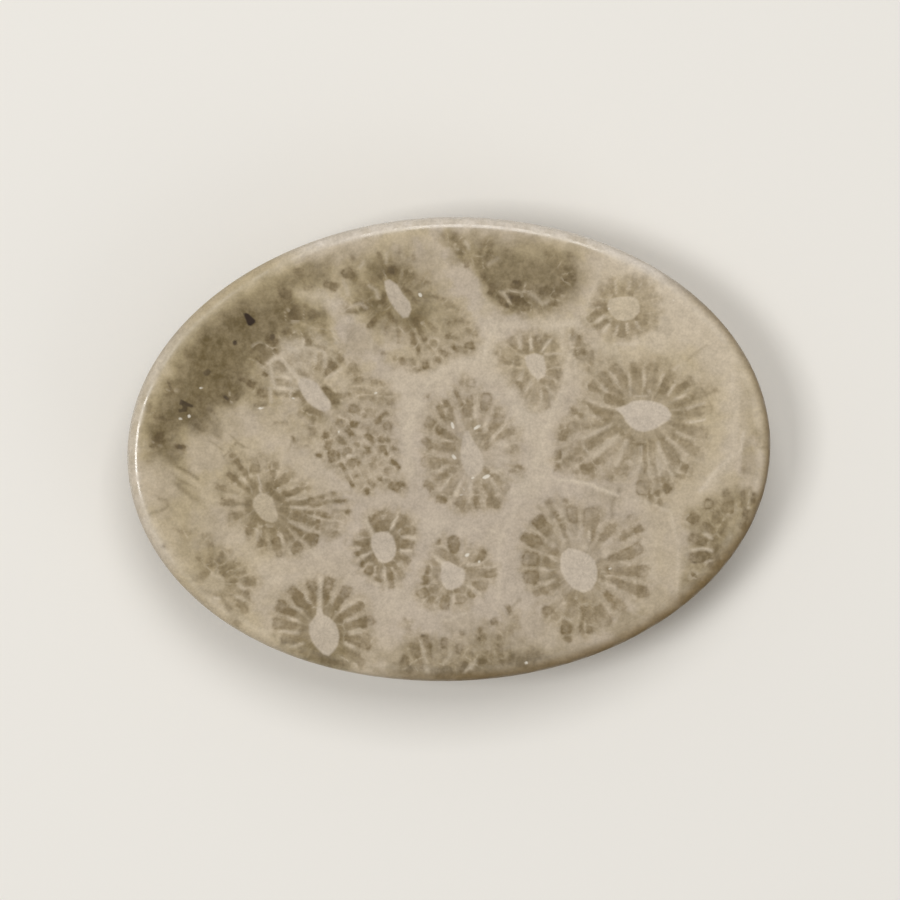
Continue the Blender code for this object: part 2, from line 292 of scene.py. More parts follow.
        (1.8, -1.5), (1.5, -1.7), (1.15, -1.6), (0.9, -1.2), (0.75, -0.8), (0.68, -0.3), (0.7, 0.2),
        (0.8, 0.7)),
     "chambers": (
        (0.73, 2.8, 0.38, 3.6, 0.2, 0.18, 1.05), (1.2, 2.75, 1.3, 3.36, 0.3, 0.36, 0.9),
        (1.02, 2.2, 1.12, 2.75, 0.44, 0.4, 0.75), (2.14, 2.48, 2.3, 3.52, 0.36, 0.58, 0.95, 0.4),
        (-0.2, 2.7, -0.25, 3.12, 0.36, 0.26, 1.05), (-0.42, 2.1, -0.68, 2.72, 0.24, 0.3, 1.05),
        (0, 1.9, 0.05, 2.6, 0.3, 0.24, 0.7), (-0.35, 2, -0.1, 1.95, 0.2, 0.2, 0.6),
        (-1.05, 1.55, -1.5, 1.82, 0.48, 0.52, 0.9, 0.3), (-0.45, 1.05, -0.8, 1.4, 0.36, 0.36, 1.15),
        (0.3, 0.88, -0.5, 1.05, 0.36, 0.46, 0.8), (-1.2, 0.1, -1.62, 0.72, 0.4, 0.34, 1, 0.3),
        (0.28, 0.15, -0.95, 0.25, 0.4, 0.34, 0.7), (0.05, 0.3, 0.25, 0.05, 0.2, 0.2, 0.5),
        (-0.65, -0.85, -1.78, -0.72, 0.46, 0.6, 0.8, 0.4), (-0.7, -0.88, -1.05, -0.82, 0.24, 0.22, 0.6),
        (0.45, -0.75, -0.4, -0.75, 0.3, 0.36, 0.5), (-0.12, -1.65, -1.02, -1.65, 0.32, 0.46, 0.8),
        (0.35, -1.25, -0.3, -1.15, 0.26, 0.3, 0.55), (-1.12, -2.5, -1.5, -2.05, 0.36, 0.36, 1.05),
        (-0.2, -3.22, -0.8, -3.08, 0.18, 0.3, 1.1), (0.08, -2.75, 0.18, -2.68, 0.16, 0.16, 0.95),
        (0.3, -2, -0.3, -2.7, 0.36, 0.46, 0.45), (0.8, -2.95, 0.58, -3.5, 0.44, 0.56, 0.75),
        (0.9, -3.55, 1.1, -3.85, 0.5, 0.4, 0.35), (1.6, -2.98, 1.8, -3.62, 0.22, 0.28, 1),
        (1.55, -2.15, 1.85, -2.6, 0.44, 0.4, 0.45), (2.35, -3.3, 3.05, -3.3, 0.56, 0.6, 0.8),
        (2.5, -3.3, 2.82, -3.3, 0.3, 0.3, 0.8), (2.2, -2.1, 2.68, -2.85, 0.3, 0.46, 0.7),
        (2.6, -1.55, 3, -1.75, 0.24, 0.26, 0.9), (2.9, -1.75, 3.6, -2.55, 0.3, 0.5, 0.5),
        (2.2, -1.25, 2.35, -1.42, 0.22, 0.2, 0.95), (4.15, -1.02, 4.7, -1.22, 0.18, 0.2, 0.8),
        (3.75, -1.42, 4.15, -1.38, 0.16, 0.14, 0.5), (3.9, -0.2, 3.95, -0.08, 0.14, 0.14, 0.5),
        (4, 0.1, 4.2, 0.1, 0.26, 0.26, 0.3), (2.98, 0.75, 4, 1.3, 0.24, 0.42, 0.58),
        (3.8, 1.02, 4.25, 1, 0.1, 0.1, 0.5), (2.65, 1.15, 3.2, 2.2, 0.4, 0.66, 0.72),
        (2.65, 1.25, 2.8, 1.35, 0.18, 0.18, 0.5), (2.95, 2.4, 3, 2.6, 0.26, 0.2, 0.35),
        (2.1, 0.65, 2.5, 1, 0.4, 0.4, 0.5), (1.4, 1.6, 1.95, 1.85, 0.34, 0.34, 0.45),
        (1.7, 0.85, 2.1, 0.9, 0.2, 0.2, 0.5), (2.3, 0.05, 2.3, 0.4, 0.18, 0.18, 0.5),
        (1.1, 1.5, 1.2, 1.75, 0.24, 0.24, 0.35), (1.7, 1.2, 1.95, 1.2, 0.1, 0.1, 0.7))},
    {"at": (-11.59, -3.47), "halo": (0.54, 0.8, 0.5), "depth": 0.74, "spread": 1.05,
     "clear": 0.65, "yellow": 0.8, "core": (
        (-11.85, -2.65), (-11.5, -2.72), (-11.15, -2.95), (-11, -3.3), (-10.9, -3.7), (-10.78, -4.1),
        (-10.85, -4.4), (-11.1, -4.5), (-11.5, -4.4), (-11.8, -4.2), (-12.1, -3.85), (-12.3, -3.5),
        (-12.3, -3.15), (-12.1, -2.85)),
     "chambers": (
        (-14.03, -2.36, -14.6, -2.2, 0.28, 0.24, 0.9), (-13.48, -3.25, -14.35, -3.2, 0.28, 0.32, 0.9),
        (-13.03, -4, -13.8, -4.1, 0.24, 0.32, 0.6), (-13.35, -4.05, -13.42, -4.35, 0.4, 0.2, 0.5),
        (-13.4, -1.85, -13.92, -1.43, 0.34, 0.28, 1), (-12.6, -2.5, -13.35, -1.9, 0.2, 0.12, 0.8),
        (-12.62, -1.68, -13.42, -0.62, 0.14, 0.36, 0.95), (-12.15, -2.3, -12.6, -1.75, 0.34, 0.16, 0.7),
        (-13.52, -0.32, -13.66, -0.2, 0.22, 0.2, 0.95), (-12.17, -1.3, -12.28, -0.5, 0.42, 0.46, 0.85, 0.5),
        (-11.95, -2.1, -11.93, -1.75, 0.12, 0.1, 0.6), (-11.32, -2.45, -11.1, -1.32, 0.34, 0.28, 0.8),
        (-11.28, -1.1, -11.27, -0.97, 0.12, 0.1, 0.8), (-10.85, -1.05, -10.88, -0.72, 0.24, 0.18, 0.65),
        (-11.4, -0.55, -11.48, -0.4, 0.14, 0.12, 0.35), (-10.95, -2.25, -10.2, -1.62, 0.3, 0.4, 0.9),
        (-10.25, -1.65, -9.78, -1.43, 0.26, 0.2, 0.5), (-10.5, -2.8, -9.72, -2.6, 0.2, 0.26, 1.1),
        (-9.75, -2.6, -9.15, -2.38, 0.24, 0.24, 0.6), (-9.3, -2.25, -9.18, -2.1, 0.2, 0.2, 0.6),
        (-8.95, -2.45, -8.86, -2.28, 0.2, 0.18, 0.5), (-8.85, -3.25, -8.02, -3.17, 0.46, 0.46, 1.1, 0.6),
        (-8.02, -3.3, -7.8, -3.26, 0.2, 0.2, 0.6), (-9.95, -3.25, -9.12, -3.3, 0.34, 0.36, 0.6),
        (-9.8, -4.02, -8.98, -4.3, 0.52, 0.5, 1), (-9.1, -3.83, -8.62, -3.87, 0.16, 0.14, 0.9),
        (-8.85, -4.3, -8.6, -4.68, 0.22, 0.3, 0.6), (-8.3, -3.93, -7.43, -4.08, 0.26, 0.3, 1),
        (-8.27, -4.85, -8.25, -4.42, 0.28, 0.28, 1.1), (-8, -4.9, -7.9, -4.55, 0.24, 0.3, 0.4),
        (-9.95, -4.68, -9.52, -4.85, 0.34, 0.34, 0.9), (-9.5, -4.95, -9.25, -5.22, 0.22, 0.26, 1),
        (-9, -5.45, -8.3, -5.68, 0.56, 0.6, 1.05), (-9.62, -5.75, -9.55, -6.25, 0.2, 0.72, 0.95),
        (-9.85, -6.2, -9.75, -6.38, 0.2, 0.14, 0.7), (-10.4, -5, -10, -5.62, 0.3, 0.42, 0.75),
        (-9.95, -5.5, -9.88, -5.65, 0.18, 0.18, 0.5), (-10.95, -5.5, -10.85, -5.8, 0.46, 0.44, 1.05),
        (-10.85, -5.8, -10.65, -6.6, 0.46, 0.3, 0.75), (-11.75, -5.5, -11.78, -6, 0.44, 0.5, 1),
        (-12.55, -4.95, -12.62, -5.48, 0.42, 0.1, 1), (-12.2, -3.95, -12.45, -4.75, 0.3, 0.34, 0.5),
        (-12.15, -4.05, -11.6, -4.55, 0.18, 0.16, 0.8), (-12.62, -3.15, -12.6, -3.8, 0.4, 0.34, 0.55),
        (-11.55, -4.8, -11.7, -4.95, 0.16, 0.16, 0.7), (-11.4, -4.95, -11.45, -5.4, 0.5, 0.36, 0.35),
        (-11, -4.95, -11, -5.35, 0.28, 0.2, 0.55), (-11.5, -6.2, -11.75, -6.3, 0.16, 0.16, 0.4),
        (-11.2, -2.65, -10.4, -3.1, 0.3, 0.3, 0.6), (-10.2, -3.3, -10.35, -3.9, 0.3, 0.3, 0.4),
        (-7.14, -3.2, -6.5, -3.14, 0.2, 0.14, 0.95), (-6.48, -3.92, -6.22, -3.78, 0.24, 0.22, 1.05),
        (-7.38, -2.73, -7.24, -2.67, 0.18, 0.16, 0.8), (-6.95, -4.23, -6.62, -4.2, 0.16, 0.16, 0.4),
        (-7.07, -4.8, -7.07, -4.6, 0.3, 0.34, 0.35), (-7.1, -5.5, -7.1, -5.15, 0.34, 0.34, 0.5, 0.6),
        (-7.65, -5.15, -7.5, -5.05, 0.2, 0.2, 0.3), (-9.82, 0.85, -9.68, 0.62, 0.16, 0.14, 0.95))},
    {"at": (-4.16, -5.97), "halo": (0.42, 0.5, 0.6), "depth": 0.78, "spread": 1,
     "clear": 0.78, "yellow": 0, "core": (
        (-4.65, -5.2), (-4.3, -5.12), (-3.9, -5.15), (-3.6, -5.4), (-3.45, -5.8), (-3.38, -6.2),
        (-3.45, -6.6), (-3.7, -6.9), (-4.05, -7.05), (-4.4, -6.95), (-4.65, -6.6), (-4.85, -6.2),
        (-4.92, -5.8), (-4.88, -5.4)),
     "chambers": (
        (-4.5, -5.02, -4.88, -4.15, 0.4, 0.46, 1.05), (-4.2, -5, -4.4, -3.85, 0.4, 0.56, 0.8),
        (-3.98, -4.95, -3.62, -3.98, 0.26, 0.56, 0.75), (-4.75, -4.5, -4.9, -4.15, 0.26, 0.3, 0.6),
        (-3.28, -4.85, -2.8, -4.15, 0.4, 0.62, 0.85), (-2.75, -4.6, -2.45, -4.3, 0.36, 0.3, 0.5),
        (-3, -5.1, -2.2, -5, 0.46, 0.5, 0.85), (-2.75, -5.35, -2.4, -5.35, 0.2, 0.2, 0.6),
        (-3.02, -5.9, -2.28, -5.95, 0.46, 0.5, 0.95), (-3.3, -5.45, -3.3, -6.25, 0.2, 0.22, 0.8),
        (-3.35, -6.5, -3.2, -6.95, 0.34, 0.3, 0.6), (-2.95, -6.6, -2.6, -7.05, 0.4, 0.4, 0.72),
        (-3.42, -7.3, -3.3, -7.5, 0.24, 0.22, 0.8), (-3.25, -7.45, -2.92, -8, 0.3, 0.36, 0.5),
        (-4, -7.1, -3.4, -7.15, 0.3, 0.26, 0.6), (-3.78, -7.65, -3.7, -8.55, 0.34, 0.4, 1),
        (-3.85, -7.45, -3.85, -7.65, 0.16, 0.2, 0.4), (-4.4, -7.3, -4.4, -7.95, 0.3, 0.3, 0.4),
        (-4.72, -8, -4.3, -8.2, 0.22, 0.26, 0.85), (-4.95, -7.2, -5.12, -7.72, 0.3, 0.46, 0.95),
        (-5.48, -7.02, -5.57, -7.28, 0.24, 0.28, 1.1), (-4.7, -6.7, -5.2, -6.85, 0.4, 0.36, 0.6),
        (-5.63, -6.55, -6, -6.42, 0.24, 0.22, 1.05), (-5.1, -6.2, -5.5, -6.3, 0.3, 0.36, 0.7),
        (-5.15, -5.85, -5.6, -5.78, 0.42, 0.36, 0.85), (-5.6, -5.8, -6.02, -5.78, 0.26, 0.22, 0.95),
        (-5.35, -5.35, -5.48, -4.95, 0.3, 0.3, 0.5), (-4.5, -5.05, -4.1, -5.05, 0.14, 0.14, 0.7),
        (-4.6, -7.1, -4.9, -7, 0.2, 0.2, 0.5))},
    {"at": (0.16, -7.84), "halo": (0.2, 0.5, 0.4), "depth": 0.76, "spread": 1,
     "clear": 0.88, "yellow": 0, "core": (
        (-0.5, -7), (-0.1, -7), (0.2, -7.15), (0.5, -7.35), (0.85, -7.45), (0.93, -7.75), (0.88, -8.15),
        (0.7, -8.45), (0.4, -8.65), (0.1, -8.75), (-0.2, -8.7), (-0.45, -8.4), (-0.55, -8), (-0.52, -7.4)),
     "chambers": (
        (0.28, -6.42, 0.2, -5.45, 0.56, 0.6, 0.95), (-0.7, -5.82, -0.65, -5.6, 0.12, 0.16, 0.85),
        (0.5, -7.05, -0.2, -6.6, 0.3, 0.4, 0.55), (-0.2, -6.6, -0.8, -6.3, 0.4, 0.3, 0.5),
        (-0.85, -7.25, -1.1, -6.8, 0.3, 0.24, 0.65), (-1.32, -7.35, -1.44, -7.7, 0.18, 0.2, 1),
        (-1.5, -7.92, -1.58, -8.38, 0.32, 0.3, 1.05), (-0.9, -7.85, -0.9, -8.15, 0.2, 0.2, 0.35),
        (-1.4, -8.85, -1.98, -9.1, 0.46, 0.5, 0.9, 0.45), (-1.6, -8.75, -1.85, -8.95, 0.16, 0.16, 0.6),
        (-0.8, -8.65, -1.25, -8.8, 0.3, 0.3, 0.65), (-1.1, -9.2, -1.42, -9.85, 0.26, 0.34, 0.75),
        (-0.95, -9.55, -0.82, -9.5, 0.14, 0.14, 0.5), (-0.25, -9.1, -0.33, -9.95, 0.3, 0.46, 0.95),
        (0.4, -9.55, 0.8, -9.57, 0.2, 0.16, 1.05), (0.4, -9.35, 1, -9.4, 0.4, 0.3, 0.4),
        (1.18, -9, 1.55, -9.15, 0.22, 0.26, 0.9), (0.3, -8.85, 0.8, -8.7, 0.22, 0.26, 0.65),
        (-0.5, -8.95, 0.1, -8.95, 0.2, 0.2, 0.4), (1.45, -8.42, 2.3, -8.55, 0.34, 0.5, 0.6),
        (1.45, -8.5, 1.8, -8.58, 0.14, 0.14, 0.6), (2.2, -7.75, 2.82, -7.72, 0.4, 0.42, 0.7),
        (2.35, -7.85, 2.5, -7.82, 0.2, 0.2, 0.5), (1.1, -7.7, 2.1, -7.7, 0.46, 0.42, 0.45),
        (0.98, -7.37, 1.95, -7.32, 0.1, 0.1, 0.7), (1.9, -7.3, 2, -7.2, 0.12, 0.12, 0.8),
        (1.55, -6.98, 2, -6.65, 0.22, 0.4, 0.75), (1.95, -6.65, 2.12, -6.3, 0.44, 0.36, 0.9),
        (1.35, -6.95, 1.5, -6.6, 0.3, 0.4, 0.35), (1.3, -6, 1.28, -5.88, 0.12, 0.12, 0.4),
        (2.2, -7.1, 2.6, -7.25, 0.2, 0.2, 0.35))},
    {"at": (8.16, -7.59), "halo": (0.3, 0.8, 0.4), "depth": 0.78, "spread": 1.1,
     "clear": 0.85, "yellow": 0, "core": (
        (6.93, -6.81), (7.04, -6.5), (7.43, -6.19), (7.98, -6.27), (8.68, -6.58), (9.06, -6.96),
        (9.22, -7.59), (9.17, -8.21), (8.83, -8.75), (8.36, -8.94), (7.74, -8.68), (7.28, -8.21),
        (6.95, -7.51)),
     "chambers": (
        (6.35, -5.25, 5.85, -4.8, 0.45, 0.6, 0.55), (5.9, -4.85, 5.35, -4.25, 0.6, 0.66, 1),
        (5.62, -6, 5.2, -5.62, 0.5, 0.62, 0.85), (5.1, -5.7, 4.58, -5.4, 0.6, 0.52, 1),
        (5.52, -6.9, 4.58, -6.78, 0.62, 0.74, 1, 0.5), (5.5, -8.05, 4.68, -7.9, 0.6, 0.66, 0.9),
        (6.1, -8.8, 5.25, -9, 0.42, 0.4, 0.7), (6.45, -10.1, 5.85, -10.1, 0.4, 0.5, 0.8),
        (6.7, -10.55, 6.4, -10.3, 0.25, 0.3, 0.4), (7.1, -10.65, 7.35, -11.45, 0.3, 0.6, 1),
        (7.38, -11.75, 7.42, -12.05, 0.3, 0.26, 0.75), (7.75, -9.4, 7.45, -10.5, 0.5, 0.6, 0.5),
        (8.38, -9.9, 8.28, -10.95, 0.26, 0.2, 0.95), (8.68, -9.95, 8.78, -10.85, 0.3, 0.34, 0.55),
        (8.22, -11.1, 8.28, -11.7, 0.18, 0.22, 0.8), (8.7, -11.12, 8.75, -11.48, 0.28, 0.3, 0.8),
        (9.25, -9.85, 9.8, -11, 0.5, 0.75, 0.6, 0.35), (9.2, -9.95, 9.8, -10.15, 0.2, 0.2, 0.5),
        (9.7, -8.9, 10.5, -9.95, 0.3, 0.36, 0.95), (10.2, -9.2, 10.85, -10.05, 0.3, 0.4, 0.5),
        (10.15, -8.1, 10.95, -8.55, 0.3, 0.4, 0.7), (10.9, -8.5, 11.7, -8.85, 0.45, 0.5, 0.45),
        (11.55, -8.75, 12.45, -9, 0.6, 0.5, 0.8), (10.05, -7.6, 11.4, -7.65, 0.34, 0.5, 0.62),
        (11.3, -7.6, 12.38, -7.65, 0.5, 0.6, 0.75), (9.85, -7.4, 9.95, -7.75, 0.14, 0.18, 0.9),
        (9.98, -6.82, 10.6, -6.68, 0.3, 0.36, 0.8), (10.6, -6.68, 11.15, -6.5, 0.42, 0.5, 0.45),
        (11.05, -6.62, 12, -6.1, 0.55, 0.62, 1, 0.5), (11.6, -5.1, 12.05, -4.85, 0.28, 0.32, 0.85),
        (10.7, -5.58, 10.98, -5.48, 0.22, 0.22, 0.55), (10.95, -5.35, 11.35, -5, 0.3, 0.34, 0.4),
        (9.5, -5.65, 10.2, -4.8, 0.36, 0.42, 0.65), (10, -4.9, 10.35, -4.75, 0.16, 0.18, 0.6),
        (8.92, -5.65, 8.98, -5.15, 0.2, 0.3, 0.75), (8.75, -5.05, 8.88, -3.65, 0.55, 0.8, 0.6, 0.25),
        (9.2, -4.6, 9.25, -4.1, 0.2, 0.24, 0.5), (7.72, -4.55, 7.65, -3.6, 0.4, 0.54, 0.72),
        (6.85, -4.45, 6.6, -3.9, 0.22, 0.24, 1), (7.25, -5.5, 7.05, -4.75, 0.2, 0.26, 0.65),
        (6.8, -6.35, 6.2, -6.3, 0.4, 0.44, 0.6), (6.5, -7.1, 5.9, -7, 0.4, 0.46, 0.4),
        (6.25, -6.92, 6, -6.98, 0.16, 0.16, 0.4), (6.8, -8, 6.25, -7.95, 0.4, 0.5, 0.45),
        (6.8, -8.6, 6.2, -8.55, 0.3, 0.34, 0.5), (8.15, -9.3, 8.35, -9.42, 0.2, 0.2, 0.6),
        (11.15, -4.25, 11.4, -4.15, 0.14, 0.14, 0.4), (6, -3.4, 6.35, -3.2, 0.26, 0.3, 0.65),
        (7.1, -3.2, 7.3, -3.1, 0.22, 0.24, 0.6), (9.15, -7.3, 9.3, -8, 0.1, 0.1, 0.6),
        (9.5, -7.9, 9.6, -8.25, 0.1, 0.12, 0.4), (7.7, -9.15, 7.2, -9.3, 0.3, 0.3, 0.35),
        (3.6, -9.75, 3.8, -10.2, 0.22, 0.26, 0.8))},
    {"at": (-7.97, -11.41), "halo": (0.46, 0.8, 0.7), "depth": 0.8, "spread": 1.05,
     "clear": 0.78, "yellow": 0.1, "core": (
        (-8.3, -9.9), (-8.05, -9.9), (-7.95, -10.3), (-7.55, -10.5), (-7.2, -10.85), (-7, -11.3),
        (-6.95, -11.7), (-7.05, -12.2), (-7.3, -12.6), (-7.6, -12.85), (-7.9, -12.75), (-8.3, -12.4),
        (-8.6, -12), (-8.8, -11.4), (-8.8, -10.9), (-8.55, -10.55), (-8.35, -10.3)),
     "chambers": (
        (-7.85, -9.5, -7.52, -7.95, 0.14, 0.62, 1), (-7.2, -9.85, -6.4, -8.62, 0.36, 0.56, 0.85),
        (-6.75, -10.35, -5.45, -9.65, 0.3, 0.5, 0.9), (-6.9, -10.7, -6.78, -10.3, 0.16, 0.26, 0.9),
        (-5.95, -9.8, -5.5, -9.62, 0.36, 0.36, 0.4), (-6.45, -10.98, -5.75, -10.85, 0.4, 0.4, 0.55),
        (-5.72, -10.85, -4.8, -10.62, 0.42, 0.58, 0.9), (-6.5, -11.7, -5.1, -11.85, 0.3, 0.66, 0.7),
        (-6.3, -12.05, -5, -12.3, 0.14, 0.36, 0.8), (-6.5, -12.7, -5.7, -13.1, 0.5, 0.5, 0.5),
        (-5.75, -13.1, -5.4, -13.45, 0.4, 0.36, 0.65), (-8.5, -9.6, -8.7, -8.2, 0.24, 0.6, 0.95),
        (-8.85, -9.9, -9.55, -9.2, 0.3, 0.62, 1), (-9.35, -9.35, -10, -8.68, 0.6, 0.5, 0.95),
        (-9.7, -10.22, -10.8, -9.62, 0.4, 0.66, 0.95), (-9.6, -10.95, -11.05, -10.82, 0.34, 0.58, 0.75),
        (-9.52, -11.85, -10.55, -11.72, 0.58, 0.44, 0.72), (-9, -12.6, -9.4, -12.65, 0.34, 0.3, 0.5),
        (-9.3, -11.3, -9.4, -11.9, 0.2, 0.2, 0.4), (-6.9, -11.1, -6.95, -11.9, 0.2, 0.24, 0.5),
        (-7.4, -9.6, -7.4, -10, 0.3, 0.3, 0.4), (-8.5, -10, -8.8, -10.15, 0.24, 0.3, 0.45),
        (-7.6, -13.25, -6.5, -13.4, 0.3, 0.3, 0.5), (-8.6, -12.8, -8.3, -12.95, 0.3, 0.3, 0.4))},
    {"at": (-14.78, -8.28), "halo": (0.2, 0.6, 0.45), "depth": 0.58, "spread": 1,
     "clear": 0.38, "yellow": 1, "core": (
        (-14.9, -7.6), (-14.5, -7.6), (-14.2, -7.9), (-14.05, -8.3), (-14.2, -8.7), (-14.6, -8.75),
        (-15.1, -8.75), (-15.5, -8.5), (-15.35, -8.2), (-15.1, -7.9)),
     "chambers": (
        (-14.98, -5.72, -14.95, -6.02, 0.36, 0.34, 0.9), (-14.2, -6.45, -14.45, -6.92, 0.26, 0.36, 0.85),
        (-13.98, -6.22, -13.82, -6.28, 0.12, 0.12, 0.5), (-15.15, -6.68, -15.1, -6.92, 0.34, 0.32, 0.7),
        (-15.85, -6.5, -15.7, -6.8, 0.12, 0.12, 0.45), (-14.75, -7.1, -15, -7.3, 0.2, 0.26, 0.75),
        (-13.5, -7.1, -14.3, -7.48, 0.42, 0.24, 0.8), (-14.3, -7.6, -13.95, -7.95, 0.26, 0.22, 0.8),
        (-13.65, -7.65, -13.9, -7.9, 0.2, 0.2, 0.6), (-13.3, -7.7, -12.75, -7.52, 0.12, 0.22, 0.75),
        (-13.2, -7.12, -13.1, -7.08, 0.16, 0.16, 0.5), (-12.85, -8.15, -12.2, -8.2, 0.48, 0.58, 0.9),
        (-12.32, -8.22, -12.25, -8.25, 0.24, 0.24, 0.6), (-13.65, -8.1, -13.45, -8.2, 0.24, 0.24, 0.65),
        (-15.2, -7.6, -15.95, -8.1, 0.3, 0.24, 0.5), (-12.75, -8.85, -12.55, -9.25, 0.4, 0.18, 0.85),
        (-13.15, -9.35, -13.2, -9.72, 0.24, 0.3, 0.85), (-13, -9.6, -12.78, -10.08, 0.36, 0.3, 0.8),
        (-13.95, -9.75, -13.75, -9.98, 0.26, 0.26, 0.75), (-13.8, -9.08, -13.58, -9.38, 0.14, 0.14, 0.5),
        (-14.7, -9.05, -14.4, -9.05, 0.07, 0.07, 0.7), (-13.7, -8.6, -13.1, -8.8, 0.4, 0.4, 0.35),
        (-13.42, -10.75, -13.12, -10.98, 0.3, 0.34, 0.6))},
)

